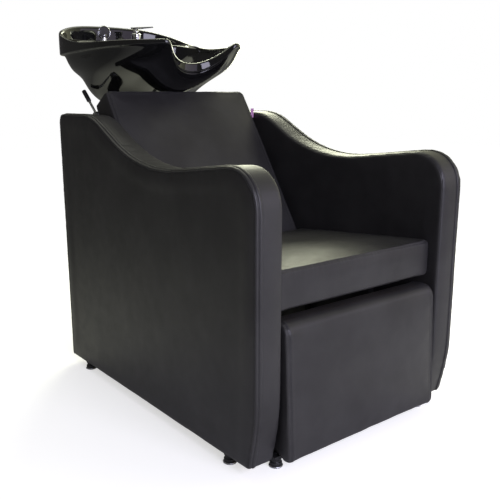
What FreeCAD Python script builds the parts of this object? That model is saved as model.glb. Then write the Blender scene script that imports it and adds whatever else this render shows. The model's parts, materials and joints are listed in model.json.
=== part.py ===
"""Salon hair washing bed: an upholstered armchair with a lifting legrest and a
tilting wash basin behind the backrest.

Millimetres. X runs across the chair, -Y is the front, +Z is up. The origin is
on the floor, in the middle of the whole unit.
"""
import FreeCAD, Part
import Sketcher
import math
import os
import re

Vector = FreeCAD.Vector
X_AXIS = Vector(1, 0, 0)
Y_AXIS = Vector(0, 1, 0)
Z_AXIS = Vector(0, 0, 1)

# Driving sizes. Places along the depth are counted from the front of the arms,
# and heights from the floor.
SIZES = {
    # whole unit
    "overall_wide": 700,
    "skin_gap": 0.3,
    "running_gap": 0.05,
    "overrun": 2,
    # arms
    "arm_wide": 78,
    "arm_deep": 937,
    "arm_high": 789,
    "arm_round": 8,
    "arm_foam": 10,
    "core_inset": 22,
    "shoulder_in": 204,
    "dip_depth": 470,
    "dip_high": 654,
    "crest_high": 710,
    "toe_high": 120,
    "toe_back": 27,
    "heel_round": 8,
    "rear_top_round": 22,
    "shoulder_round": 200,
    "dip_round": 525,
    "crest_round": 89,
    "shin_round": 560,
    # levelling feet
    "foot_high": 28,
    "foot_radius": 15,
    "foot_ring_radius": 17,
    "foot_ring_thick": 5,
    "stud_radius": 4,
    "stud_reach": 30,
    "foot_in": 20,
    "front_foot_depth": 118,
    "rear_foot_in": 91,
    "tab_foot_depth": 38,
    "tab_thick": 3,
    "tab_wide": 30,
    "tab_stud_reach": 4,
    # base frame of square tube
    "rail_wide": 25,
    "rail_high": 40,
    "rail_start": 66,
    "tab_lap": 60,
    "rail_in": 31,
    "tube_wall": 2,
    "cross_wide": 40,
    "front_cross_depth": 160,
    "mid_cross_depth": 545,
    "column_ahead": 109,
    "post_wide": 30,
    "front_post_depth": 217,
    "rear_post_depth": 480,
    "seat_rail_high": 28,
    "seat_rail_end": 590,
    "back_post_depth": 700,
    "bolt_radius": 4,
    "bolt_head_radius": 8,
    "bolt_head_thick": 5,
    "bolt_reach": 30,
    "front_bolt_depth": 230,
    "mid_bolt_depth": 460,
    "rear_bolt_in": 177,
    # seat
    "seat_front_depth": 30,
    "seat_low": 375,
    "seat_front_high": 472,
    "seat_back_high": 427,
    "seat_crown": 9,
    "seat_edge": 12,
    "seat_board_thick": 18,
    "board_inset": 16,
    # backrest
    "back_foot_depth": 530,
    "back_top_depth": 814,
    "back_top_high": 860,
    "back_thick": 85,
    "back_side_gap": 14,
    "back_crown": 9,
    "back_edge": 14,
    "back_board_thick": 15,
    # fabric tab in the seam of the backrest
    "label_wide": 12,
    "label_thick": 1.2,
    "label_high": 30,
    "label_low": 770,
    "label_depth": 772,
    # rear cover panel
    "panel_clear": 6,
    "panel_thick": 15,
    "panel_low": 45,
    "panel_high": 560,
    "cleat_wide": 25,
    "screw_radius": 2.5,
    "screw_head_radius": 5,
    "screw_head_thick": 2.5,
    "screw_reach": 18,
    "screw_in": 13,
    "screw_margin": 60,
    # legrest
    "hinge_depth": 84,
    "hinge_high": 250,
    "leg_lean": 2.85,
    "leg_face": 87.5,
    "leg_back": 17.5,
    "leg_top": 102,
    "leg_low": 222,
    "leg_toe_thick": 34,
    "leg_heel_high": 18,
    "leg_side_gap": 8,
    "leg_top_round": 30,
    "leg_edge": 10,
    "leg_crown": 4,
    "leg_board_thick": 15,
    "leg_board_inset": 20,
    "shaft_radius": 8,
    "shaft_proud": 3.3,
    "bush_wall": 2,
    "leg_post_thick": 12,
    "leg_post_wide": 26,
    "leg_eye_radius": 14,
    "ear_thick": 8,
    "ear_gap": 10,
    "ear_pad_high": 70,
    "ear_pad_wide": 44,
    "ear_pad_thick": 3,
    # legrest actuator
    "crank_drop": 50,
    "actuator_stroke": 77,
    "crank_thick": 8,
    "crank_half": 12.5,
    "crank_hub_half": 16,
    "crank_angle": 39,
    "pin_radius": 5,
    "slot_clear": 2.1,
    "fork_gap": 0.5,
    "fork_thick": 6,
    "fork_long": 28,
    "slot_inner": 49,
    "slot_outer": 65.5,
    "crank_rim": 6,
    "fork_half": 10,
    "rod_radius": 9,
    "rod_long": 290,
    "housing_radius": 24,
    "housing_start": 192,
    "lug_in": 21,
    "nose_radius": 15,
    "nose_long": 20,
    "gear_half": 30,
    "gear_long": 44,
    "gear_drop": 92,
    "motor_radius": 27,
    "motor_long": 120,
    "motor_drop": 60,
    "lug_half": 8,
    "lug_long": 36,
    "lug_high": 24,
    "cheek_thick": 6,
    "cheek_wide": 30,
    # electrics
    "box_wide": 130,
    "box_deep": 60,
    "box_edge": 26.7,
    "box_high": 90,
    "inlet_wide": 50,
    "inlet_high": 30,
    "inlet_bezel": 3,
    "inlet_body_deep": 28,
    "inlet_edge": 91.7,
    "inlet_above": 105,
    "plate_wide": 60,
    "plate_high": 90,
    "plate_thick": 3,
    "plate_edge": 101.7,
    "plate_low": 440,
    "button_radius": 11,
    "button_flange": 2,
    "button_proud": 3.4,
    "button_apart": 40,
    # water and waste connections on the rear panel
    "nipple_radius": 10.5,
    "nipple_reach": 30,
    "nipple_inner": 38,
    "nipple_nut_radius": 16,
    "nipple_nut_thick": 4,
    "inlet_riser_radius": 8,
    "riser_in": 27,
    "inlet_riser_high": 40,
    "water_high": 170,
    "hot_edge": 46.7,
    "cold_edge": 91.7,
    "waste_radius": 20,
    "waste_bore": 17,
    "waste_reach": 40,
    "waste_inner": 46,
    "waste_high": 130,
    "waste_beside": 46,
    "waste_riser": 60,
    # basin column and tilt
    "column_wide": 60,
    "column_deep": 40,
    "column_high": 752,
    "pivot_ahead": 65,
    "pivot_high": 780,
    "pivot_tube_radius": 14,
    "pivot_tube_half": 178,
    "pin_shaft_radius": 6,
    "bracket_thick": 6,
    "bracket_foot": 60,
    "cradle_thick": 5,
    "cradle_half": 100,
    "cradle_arm_half": 22,
    "cradle_ear_thick": 6,
    "cradle_behind": 45,
    "cradle_ear_gap": 3,
    "cradle_ear_radius": 15,
    "cradle_hole_radius": 30,
    "cradle_bolt_radius": 4,
    "cradle_bolt_x": 60,
    "cradle_bolt_in": 22,
    "cradle_bolt_reach": 10,
    "cradle_nut_radius": 7,
    "cradle_nut_thick": 5,
    "lever_hub_radius": 13,
    "lever_hub_long": 24,
    "lever_radius": 4,
    "lever_long": 70,
    "lever_rise": 41,
    "grip_radius": 7,
    "grip_long": 45,
    "grip_cover": 20,
    "pin_cap": 4,
    # basin
    "horn_depth": 672,
    "horn_high": 1000,
    "basin_deep": 583,
    "rim_rear_high": 1082,
    "rim_rise_depth": 930,
    "rim_half": 247,
    "basin_low": 803,
    "band_front_high": 986,
    "band_rear_high": 969,
    "bowl_wall": 23,
    "bowl_half": 235,
    "bowl_floor_high": 818,
    "bowl_top_high": 990,
    "bowl_dent": 10,
    "deck_high": 1020,
    "deck_thick": 14,
    "deck_wall": 12,
    "neck_radius": 138,
    "neck_high": 938,
    "neck_rear_depth": 822,
    "service_half": 95,
    "service_deep": 68,
    "service_in": 47,
    "drain_in": 88,
    "drain_radius": 22,
    "spigot_radius": 20,
    # waste fittings of the basin
    "flange_radius": 32,
    "flange_thick": 3,
    "flange_bore": 17,
    "tail_wall": 2,
    "spigot_long": 40,
    "tail_long": 68,
    "collar_radius": 28,
    "collar_high": 12,
    "strainer_radius": 25,
    "strainer_thick": 3,
    "strainer_stem": 15,
    "strainer_deep": 12,
    "strainer_hole": 2.5,
    "strainer_ring": 10,
    # mixer tap
    "tap_x": 60,
    "tap_in": 12,
    "tap_radius": 17,
    "tap_high": 28,
    "shank_radius": 10,
    "shank_long": 40,
    "nut_radius": 16,
    "manifold_radius": 20,
    "manifold_thick": 8,
    "nut_thick": 8,
    "cap_high": 9,
    "stem_half": 5,
    "stem_deep": 12,
    "stem_high": 15,
    "lever_axle_radius": 2.5,
    "lever_turn": 30,
    "lever_plate_half": 13,
    "lever_plate_thick": 6,
    "lever_cheek": 5,
    "lever_plate_rear": 15,
    "lever_plate_front": 70,
    "lever_tip_half": 6,
    # hand shower
    "shower_x": -56,
    "shower_in": 1.5,
    "holder_radius": 17,
    "holder_high": 8,
    "handle_radius": 10.5,
    "handle_rise": 14,
    "handle_sunk": 24,
    "head_radius": 23,
    "head_thick": 16,
    "face_radius": 20,
    "face_thick": 3,
    "tail_cone_radius": 7,
    "tail_cone_long": 22,
}

# Derived places, as formulas of the sizes above.
PLACES = {
    "rim_rear_depth": "horn_depth + basin_deep",
    "bowl_front_depth": "horn_depth + bowl_wall",
    "service_rear_depth": "rim_rear_depth - service_in",
    "service_front_depth": "service_rear_depth - service_deep",
    "deck_front": "service_front_depth - deck_wall",
    "drain_depth": "deck_front - drain_in",
    "tap_depth": "service_rear_depth - manifold_radius - tap_in",
    "shower_depth": "service_rear_depth - handle_radius - shower_in",
    "cradle_front": "horn_depth + 0.434 * basin_deep",
    "cradle_rear": "drain_depth + cradle_behind",
    "pivot_depth": "drain_depth - pivot_ahead",
    "rear_cross_depth": "pivot_depth - column_ahead",
    "rail_end": "max(arm_deep - rail_in; rear_cross_depth + cross_wide)",
    "panel_depth": "rail_end + panel_clear",
    "housing_end": "mid_cross_depth + cross_wide / 2 - lug_in - gear_long",
    "shoulder_depth": "arm_deep - shoulder_in",
    "rear_foot_depth": "arm_deep - rear_foot_in",
    "rear_bolt_depth": "arm_deep - rear_bolt_in",
    "toe_reach": "leg_face + leg_low * sin(leg_lean) + leg_crown / 4 - hinge_depth",
    "overall_deep": "toe_reach + rim_rear_depth",
    "front_y": "toe_reach - overall_deep / 2",
    "half_wide": "overall_wide / 2",
    "arm_inner": "half_wide - arm_wide",
    "frame_half": "arm_inner - skin_gap",
    "rail_inner": "frame_half - rail_wide",
    "leg_half": "arm_inner - leg_side_gap",
    "shaft_half": "rail_inner + leg_post_thick + shaft_proud",
    "inlet_in": "frame_half - inlet_edge",
    "plate_in": "frame_half - plate_edge",
    "hot_in": "frame_half - hot_edge",
    "cold_in": "frame_half - cold_edge",
    "waste_side": "column_wide / 2 + waste_beside",
    "rail_low": "foot_high + tab_thick",
    "rail_top": "rail_low + rail_high",
    "back_run": "back_top_depth - back_foot_depth",
    "back_rise": "back_top_high - seat_back_high",
    "back_long": "sqrt(back_run * back_run + back_rise * back_rise)",
    "back_lean": "atan(back_run / back_rise)",
    "back_offset": "back_thick / cos(back_lean)",
    "back_half": "arm_inner - back_side_gap",
    "seat_half": "arm_inner - skin_gap",
    "seat_base_depth": "back_foot_depth - (seat_back_high - seat_low) * back_run / back_rise",
    "seat_rail_low": "seat_low - skin_gap - seat_rail_high",
    "hinge_y": "front_y + hinge_depth",
    "actuator_high": "hinge_high - crank_drop",
    "rod_pin_y": "hinge_y + actuator_stroke / 2",
    "panel_y": "front_y + panel_depth",
    "panel_back_y": "panel_y + panel_thick",
    "column_y": "front_y + rear_cross_depth",
    "pivot_y": "front_y + pivot_depth",
    "cradle_top": "basin_low",
    "ear_inner": "pivot_tube_half + cradle_ear_gap",
    "ear_outer": "ear_inner + cradle_ear_thick",
    "hub_inner": "ear_outer + skin_gap",
    "hub_outer": "hub_inner + lever_hub_long",
    "drain_y": "front_y + drain_depth",
    "tap_y": "front_y + tap_depth",
    "shower_y": "front_y + shower_depth",
    "cap_low": "deck_high + tap_high + skin_gap",
    "stem_low": "cap_low + cap_high",
    "lever_axle_high": "stem_low + stem_high / 2",
    "lever_plate_low": "stem_deep / 2 + skin_gap",
    "deck_under": "deck_high - deck_thick",
}

# Where the bolts that hold the arms stand along the base rails.
ARM_BOLT_DEPTHS = ("front_bolt_depth", "mid_bolt_depth", "rear_bolt_depth")
# Heights of the two buttons on the control plate.
BUTTON_HEIGHTS = ("plate_low + (plate_high - button_apart) / 2",
                  "plate_low + (plate_high + button_apart) / 2")
# How many holes the strainer has.
STRAINER_HOLES = 8

doc = FreeCAD.newDocument("hair_washing_bed")
nodes = []


def prefixed(text, names, page):
    """Put the sheet's name before each of its aliases in a formula."""
    return re.sub(r"\b[a-z]\w*\b", lambda m: page + "." + m[0] if m[0] in names else m[0], text)


def link(text):
    """A formula of size and place names, as an expression of the two sheets."""
    return prefixed(prefixed(text, SIZES, "Sizes"), PLACES, "Places")


def fill_sheet(name, rows):
    """Write a name and its content on each row, and give the cell that alias."""
    page = doc.addObject("Spreadsheet::Sheet", name)
    for row, (alias, content) in enumerate(rows.items(), 1):
        page.set("A%d" % row, alias)
        page.set("B%d" % row, content)
        page.setAlias("B%d" % row, alias)
    return page


sizes = fill_sheet("Sizes", {name: str(size) for name, size in SIZES.items()})
doc.recompute()
places = fill_sheet("Places", {name: "=" + prefixed(rule, SIZES, "Sizes")
                               for name, rule in PLACES.items()})
doc.recompute()


def size(name):
    """The number that a size or a place has in the sheets."""
    page = sizes if name in SIZES else places
    return float(page.get(name))


def bind(thing, **rules):
    """Bind properties to formulas; an underscore stands for a dot."""
    for name, rule in rules.items():
        thing.setExpression(name.replace("_", "."), link(rule))


def put(thing, x="0", y="0", z="0"):
    """Bind an object's position to three formulas."""
    bind(thing, Placement_Base_x=x, Placement_Base_y=y, Placement_Base_z=z)
    return thing


def turned(thing, axis, angle):
    """Turn an object about an axis by a bound angle."""
    thing.Placement = FreeCAD.Placement(thing.Placement.Base, FreeCAD.Rotation(axis, 1))
    bind(thing, Placement_Rotation_Angle=angle)
    return thing


def box(name, x, y, z, long, deep, high):
    """A block from its lowest corner and its three sides."""
    block = doc.addObject("Part::Box", name)
    bind(block, Length=long, Width=deep, Height=high)
    return put(block, x, y, z)


def rod(name, x, y, z, radius, long, along="z"):
    """A cylinder that starts at a point and runs along an axis."""
    bar = doc.addObject("Part::Cylinder", name)
    bind(bar, Radius=radius, Height=long)
    if along == "x":
        bar.Placement = FreeCAD.Placement(Vector(), FreeCAD.Rotation(Y_AXIS, 90))
    if along == "y":
        bar.Placement = FreeCAD.Placement(Vector(), FreeCAD.Rotation(X_AXIS, -90))
    return put(bar, x, y, z)


def fuse(name, *pieces):
    """One solid of several that touch or overlap."""
    whole = doc.addObject("Part::MultiFuse", name)
    whole.Shapes = list(pieces)
    whole.Refine = True
    return whole


def cut(name, base, *tools):
    """A solid less one or more tools."""
    rest = doc.addObject("Part::Cut", name)
    rest.Base = base
    rest.Tool = tools[0] if len(tools) == 1 else fuse(name + "_tools", *tools)
    return rest


def mirrored(name, piece):
    """The same piece on the other side of the chair."""
    twin = doc.addObject("Part::Mirroring", name)
    twin.Source = piece
    twin.Normal = X_AXIS
    return twin


def group(name, *pieces):
    """Several like solids as one object."""
    crowd = doc.addObject("Part::Compound", name)
    crowd.Links = list(pieces)
    return crowd


def both(name, piece):
    """A piece and its mirror image as one object."""
    return group(name, piece, mirrored(name + "_twin", piece))


def solid(name, shape, base=Vector(), axis=X_AXIS, angle=0):
    """A shape that no primitive gives, placed after it is set."""
    piece = doc.addObject("Part::Feature", name)
    piece.Shape = shape
    piece.Placement = FreeCAD.Placement(base, FreeCAD.Rotation(axis, angle))
    return piece


def node(label, piece):
    """Name a finished sub-part; its label names its file."""
    piece.Label = label
    nodes.append(piece)
    return piece


def tube(name, x, y, z, long, deep, high, along):
    """Square tube, open at both ends of the axis that it runs along."""
    outer = box(name + "_outer", x, y, z, long, deep, high)
    start = dict(x=x, y=y, z=z)
    span = dict(x=long, y=deep, z=high)
    for axis in "xyz":
        margin = "-overrun" if axis == along else "tube_wall"
        start[axis] = "%s + %s" % (start[axis], margin)
        span[axis] = "%s - 2 * (%s)" % (span[axis], margin)
    bore = box(name + "_bore", start["x"], start["y"], start["z"], span["x"], span["y"], span["z"])
    return cut(name, outer, bore)


def origin_plane(body, role):
    """One of a body's own origin planes."""
    return next(item for item in body.Origin.OriginFeatures if item.Role == role)


def profile_pad(name, corners, thick, x):
    """A plate with a polygon outline in the Y-Z plane, padded across the chair from x."""
    body = doc.addObject("PartDesign::Body", name)
    sketch = body.newObject("Sketcher::SketchObject", name + "_outline")
    sketch.AttachmentSupport = [(origin_plane(body, "YZ_Plane"), "")]
    sketch.MapMode = "FlatFace"
    count = len(corners)
    ring = [Vector(math.cos(math.tau * i / count), math.sin(math.tau * i / count), 0)
            for i in range(count)]
    for i in range(count):
        sketch.addGeometry(Part.LineSegment(ring[i], ring[(i + 1) % count]))
    for i in range(count):
        sketch.addConstraint(Sketcher.Constraint("Coincident", i, 2, (i + 1) % count, 1))
    for i, (y, z) in enumerate(corners):
        for kind, rule, now in (("DistanceX", y, ring[i].x), ("DistanceY", z, ring[i].y)):
            place = sketch.addConstraint(Sketcher.Constraint(kind, -1, 1, i, 1, now))
            sketch.setExpression("Constraints[%d]" % place, link(rule))
    pad = body.newObject("PartDesign::Pad", name + "_pad")
    pad.Profile = sketch
    bind(pad, Length=thick)
    return put(body, x)


def soft_section(corners, radii, swells):
    """A closed section: rounded corners, and sides that bow in by their swell.

    A negative swell bows the side out. A corner of radius zero stays sharp.
    """
    count = len(corners)
    starts, mids, ends = [], [], []
    for i, corner in enumerate(corners):
        to_last = (corners[i - 1] - corner).normalize()
        to_next = (corners[(i + 1) % count] - corner).normalize()
        half = to_last.getAngle(to_next) / 2
        reach = radii[i] / math.tan(half) if radii[i] else 0
        starts.append(corner + to_last * reach)
        ends.append(corner + to_next * reach)
        middle = to_last + to_next
        mids.append(corner + middle.normalize() * (radii[i] / math.sin(half) - radii[i])
                    if radii[i] else corner)
    edges = []
    for i in range(count):
        if radii[i]:
            edges.append(Part.Arc(starts[i], mids[i], ends[i]).toShape())
        start, end = ends[i], starts[(i + 1) % count]
        inward = (end - start).cross(X_AXIS).normalize()
        if swells[i]:
            bow = (start + end) / 2 + inward * swells[i]
            edges.append(Part.Arc(start, bow, end).toShape())
        else:
            edges.append(Part.LineSegment(start, end).toShape())
    return Part.Wire(edges)


def levelling_feet():
    """Screw-in feet: a black glide with its stud over a steel base ring."""
    rings, glides = [], []
    arm_x = "half_wide - foot_in"
    tab_x = "frame_half - tab_wide / 2"
    for name, x, depth, reach in (
            ("front_foot", arm_x, "front_foot_depth", "stud_reach"),
            ("rear_foot", arm_x, "rear_foot_depth", "stud_reach"),
            ("tab_foot", tab_x, "tab_foot_depth", "tab_thick + tab_stud_reach")):
        y = "front_y + " + depth
        ring = rod(name + "_ring", x, y, "0", "foot_ring_radius", "foot_ring_thick")
        glide = rod(name + "_glide", x, y, "foot_ring_thick", "foot_radius",
                    "foot_high - foot_ring_thick")
        stud = rod(name + "_stud", x, y, "foot_high - overrun", "stud_radius", reach + " + overrun")
        glide = fuse(name + "_body", glide, stud)
        rings += [ring, mirrored(name + "_ring_twin", ring)]
        glides += [glide, mirrored(name + "_body_twin", glide)]
    node("foot_rings", group("foot_ring_set", *rings))
    node("levelling_feet", group("foot_glide_set", *glides))


def stud_holes(name, x, depths):
    """Clearance holes for the studs of the feet, mirrored later with their piece."""
    return [rod("%s_stud_hole_%d" % (name, i), x, "front_y + " + depth, "foot_high - overrun",
                "stud_radius + running_gap", "stud_reach + 2 * overrun")
            for i, depth in enumerate(depths)]


def base_frame():
    """Welded square tube under the seat, with flat tabs for the two front feet."""
    rail = tube("base_rail", "rail_inner", "front_y + rail_start", "rail_low",
                "rail_wide", "rail_end - rail_start", "rail_high", "y")
    bolts = [rod("rail_bolt_hole_%d" % i, "rail_inner - overrun", "front_y + " + depth,
                 "rail_low + rail_high / 2", "bolt_radius + running_gap",
                 "rail_wide + 2 * overrun", "x") for i, depth in enumerate(ARM_BOLT_DEPTHS)]
    node("base_rails", both("base_rail_pair", cut("base_rail_drilled", rail, *bolts)))
    tab = box("foot_tab", "frame_half - tab_wide", "front_y + tab_foot_depth - foot_radius",
              "foot_high", "tab_wide", "rail_start + tab_lap - tab_foot_depth + foot_radius",
              "tab_thick")
    hole = stud_holes("tab", "frame_half - tab_wide / 2", ["tab_foot_depth"])
    node("foot_tabs", both("foot_tab_pair", cut("foot_tab_drilled", tab, *hole)))
    crosses = [tube("cross_%d" % i, "-rail_inner", "front_y + " + depth, "rail_low",
                    "2 * rail_inner", "cross_wide", "rail_high", "x")
               for i, depth in enumerate(("front_cross_depth", "mid_cross_depth",
                                          "rear_cross_depth"))]
    node("cross_rails", group("cross_rail_set", *crosses))
    posts = [tube("seat_post_%d" % i, "rail_inner", "front_y + " + depth, "rail_top",
                  "rail_wide", "post_wide", "seat_rail_low - rail_top", "z")
             for i, depth in enumerate(("front_post_depth", "rear_post_depth"))]
    posts += [mirrored(post.Name + "_twin", post) for post in posts]
    node("seat_posts", group("seat_post_set", *posts))
    seat_rail = tube("seat_rail", "rail_inner", "front_y + front_post_depth", "seat_rail_low",
                     "rail_wide", "seat_rail_end - front_post_depth", "seat_rail_high", "y")
    node("seat_rails", both("seat_rail_pair", seat_rail))
    back_face = "front_y + back_foot_depth + back_offset + skin_gap"
    slope = "back_rise / back_run"
    front = "front_y + back_post_depth"
    rear = front + " + post_wide"
    top = "seat_back_high + (%s - %s) * " + slope
    post = profile_pad("back_post", [(front, "rail_top"), (rear, "rail_top"),
                                     (rear, top % (rear, "(" + back_face + ")")),
                                     (front, top % (front, "(" + back_face + ")"))],
                       "rail_wide", "rail_inner")
    node("back_posts", both("back_post_pair", post))


def arm_bolts():
    """Hexagon bolts from the base rails into the timber cores of the arms."""
    bolts = []
    for i, depth in enumerate(ARM_BOLT_DEPTHS):
        y = "front_y + " + depth
        z = "rail_low + rail_high / 2"
        head = doc.addObject("Part::Prism", "arm_bolt_head_%d" % i)
        bind(head, Circumradius="bolt_head_radius", Height="bolt_head_thick")
        head.Polygon = 6
        head.Placement = FreeCAD.Placement(Vector(), FreeCAD.Rotation(Y_AXIS, 90))
        put(head, "rail_inner - bolt_head_thick", y, z)
        shank = rod("arm_bolt_shank_%d" % i, "rail_inner - overrun / 2", y, z, "bolt_radius",
                    "rail_wide + skin_gap + arm_foam + bolt_reach", "x")
        bolts.append(fuse("arm_bolt_%d" % i, head, shank))
    bolts += [mirrored(bolt.Name + "_twin", bolt) for bolt in bolts]
    node("arm_bolts", group("arm_bolt_set", *bolts))


def arm_outline(x, inset, low):
    """The arm's side outline at x, drawn in by an inset on every edge but the bottom."""
    deep, high = size("arm_deep"), size("arm_high")
    front = size("front_y")
    slope = (high - size("dip_high")) / (size("shoulder_depth") - size("dip_depth"))
    rise = (size("crest_high") - size("dip_high")) / size("dip_depth")
    drop = inset * math.hypot(1, slope)
    shoulder = size("shoulder_depth") + (drop - inset) / slope
    dip_drop = inset * math.hypot(1, rise)
    dip = size("dip_depth") + (drop - dip_drop) / (slope + rise)
    dip_high = size("dip_high") - dip_drop + rise * (size("dip_depth") - dip)
    lean = size("toe_back") / (size("toe_high") - size("foot_high"))
    toe = size("toe_back") - lean * (low - size("foot_high")) + inset * math.hypot(1, lean)
    knee = size("toe_high") - (math.hypot(1, lean) - 1) * inset / lean
    crest = size("crest_high") - dip_drop - rise * inset
    places_yz = ((deep - inset, low), (deep - inset, high - inset), (shoulder, high - inset),
                 (dip, dip_high), (inset, crest), (inset, knee), (toe, low))
    radii = (size("heel_round"), size("rear_top_round"), size("shoulder_round") + inset,
             size("dip_round") - inset, size("crest_round") - inset,
             size("shin_round") - inset, size("heel_round"))
    corners = [Vector(x, front + y, z) for y, z in places_yz]
    return soft_section(corners, radii, [0] * len(corners))


def arms():
    """Two arms: a timber core in a foam pad that is sewn round it."""
    low = size("foot_high")
    gap = size("skin_gap")
    inner, wide = size("arm_inner"), size("arm_wide")
    foam = size("arm_foam")
    pad = Part.Face(arm_outline(inner, 0, low + gap)).extrude(X_AXIS * wide)
    edges = [edge for edge in pad.Edges
             if edge.BoundBox.XLength < gap and edge.BoundBox.ZMax > low + size("heel_round")]
    pad = pad.makeFillet(size("arm_round"), edges)
    core_inset = size("core_inset")
    hollow = Part.Face(arm_outline(inner + foam - gap, core_inset - gap, low - gap))
    pad = pad.cut(hollow.extrude(X_AXIS * (wide - 2 * foam + 2 * gap)))
    core = Part.Face(arm_outline(inner + foam, core_inset, low))
    core = core.extrude(X_AXIS * (wide - 2 * foam))
    bolt_z = size("rail_low") + size("rail_high") / 2
    for depth in ARM_BOLT_DEPTHS:
        start = Vector(inner - gap, size("front_y") + size(depth), bolt_z)
        reach = gap + foam + size("bolt_reach") + gap
        hole = Part.makeCylinder(size("bolt_radius") + size("running_gap"), reach, start, X_AXIS)
        pad = pad.cut(hole)
        core = core.cut(hole)
    for depth in ("front_foot_depth", "rear_foot_depth"):
        start = Vector(size("half_wide") - size("foot_in"), size("front_y") + size(depth), low)
        core = core.cut(Part.makeCylinder(size("stud_radius") + size("running_gap"),
                                          size("stud_reach") + gap, start, Z_AXIS))
    right_pad = solid("arm_pad", pad)
    right_core = solid("arm_core", core)
    node("arm_pad_right", right_pad)
    node("arm_core_right", right_core)
    node("arm_pad_left", mirrored("arm_pad_twin", right_pad))
    node("arm_core_left", mirrored("arm_core_twin", right_core))


# Stations across a cushion: the share of its half width that is flat, and how the
# rounded side edge follows a quarter circle.
CUSHION_FLAT_shares = (-0.88, -0.6, -0.3, 0, 0.3, 0.6, 0.88)
EDGE_ANGLES = (0, 35, 65, 90)
# The crown falls off towards the sides with this power of the way out, and a small
# share of it is left at the side.
CROWN_POWER = 4
CROWN_LEFT_share = 0.02


def cushion(half, edge, crown, section):
    """Loft a cushion across the chair from closed sections that draw in at both sides."""
    wires = []
    stations = [((half - edge) * share, 0) for share in CUSHION_FLAT_shares]
    for angle in EDGE_ANGLES:
        turn = math.radians(angle)
        out = half - edge + edge * math.sin(turn)
        stations.append((out, edge * (1 - math.cos(turn))))
        stations.append((-out, edge * (1 - math.cos(turn))))
    for x, inset in sorted(stations):
        swell = crown * (1 + CROWN_LEFT_share - (x / half) ** CROWN_POWER)
        wires.append(section(x, inset, swell))
    return Part.makeLoft(wires, True, False, False, 3)


def back_frame():
    """Where the backrest's front face meets the seat, leaning back about that line."""
    foot = Vector(0, size("front_y") + size("back_foot_depth"), size("seat_back_high"))
    return FreeCAD.Placement(foot, FreeCAD.Rotation(X_AXIS, -size("back_lean")))


def seat():
    """The seat cushion on its plywood board."""
    front = size("front_y") + size("seat_front_depth")
    base = size("front_y") + size("seat_base_depth") - size("skin_gap")
    rear = size("front_y") + size("back_foot_depth") - size("skin_gap")
    low = size("seat_low")
    edge = size("seat_edge")

    def section(x, inset, swell):
        corners = [Vector(x, front + inset, low + inset / 2),
                   Vector(x, front + inset, size("seat_front_high") - inset),
                   Vector(x, rear - inset, size("seat_back_high") - inset),
                   Vector(x, base - inset, low + inset / 2)]
        return soft_section(corners, (edge / 3, edge, edge / 2, edge / 3),
                            (-swell / 3, -swell, 0, 0))

    pad = cushion(size("seat_half"), edge, size("seat_crown"), section)
    inset = size("board_inset")
    wide = 2 * (size("seat_half") - inset)
    deep = base - front - 2 * inset
    gap = size("skin_gap")
    pocket = Part.makeBox(wide + 2 * gap, deep + 2 * gap, size("seat_board_thick") + 2 * gap,
                          Vector(-wide / 2 - gap, front + inset - gap, low - gap))
    half, thick = size("half_wide"), size("back_thick")
    under = Part.makeBox(2 * half, 2 * deep, thick, Vector(-half, front - inset, low - thick))
    behind = Part.makeBox(2 * half, 2 * thick, 4 * thick, Vector(-half, -gap, -2 * thick))
    behind.Placement = back_frame()
    for tool in (pocket, under, behind):
        pad = pad.cut(tool)
    node("seat_cushion", solid("seat_pad", pad))
    node("seat_board", box("seat_plywood", "board_inset - seat_half",
                           "front_y + seat_front_depth + board_inset", "seat_low",
                           "2 * (seat_half - board_inset)",
                           "seat_base_depth - skin_gap - seat_front_depth - 2 * board_inset",
                           "seat_board_thick"))


def backrest():
    """The leaning backrest: a padded slab over a plywood board, cut level at its foot."""
    long = size("back_long")
    thick = size("back_thick")
    edge = size("back_edge")
    board = size("back_board_thick")
    gap = size("skin_gap")

    def section(x, inset, swell):
        corners = [Vector(x, inset, -thick), Vector(x, inset, 0), Vector(x, inset, long - inset),
                   Vector(x, thick - inset / 2, long - inset),
                   Vector(x, thick - inset / 2, -thick)]
        return soft_section(corners, (edge, 0, edge, edge / 3, edge / 3), (0, -swell, 0, 0, 0))

    level = Part.makeBox(size("overall_wide"), size("overall_deep"), size("seat_low"),
                         Vector(-size("half_wide"), size("front_y"), gap))
    pad = cushion(size("back_half"), edge, size("back_crown"), section)
    seated = Part.makeBox(size("overall_wide"), thick, 2 * thick,
                          Vector(-size("half_wide"), -thick, -2 * thick))
    half = size("back_half") - size("board_inset")
    pocket = Part.makeBox(2 * (half + gap), board + 2 * gap, long + thick,
                          Vector(-half - gap, thick - board - gap,
                                 -thick - size("board_inset") + gap))
    pad = pad.cut(pocket).cut(seated)
    sheet = Part.makeBox(2 * half, board, long + thick,
                         Vector(-half, thick - board, -thick - size("board_inset")))
    pad.Placement = back_frame()
    sheet.Placement = back_frame()
    node("back_cushion", solid("back_pad", pad.cut(level)))
    node("back_board", solid("back_plywood", sheet.cut(level)))
    node("fabric_label", box("label_loop", "back_half + skin_gap", "front_y + label_depth",
                             "label_low", "label_wide", "label_thick", "label_high"))


def on_leg(name, piece):
    """A piece of the legrest, modelled about its hinge, hung at the hinge with its lean."""
    hung = turned(group(name, piece), -X_AXIS, "leg_lean")
    return put(hung, "0", "hinge_y", "hinge_high")


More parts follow.
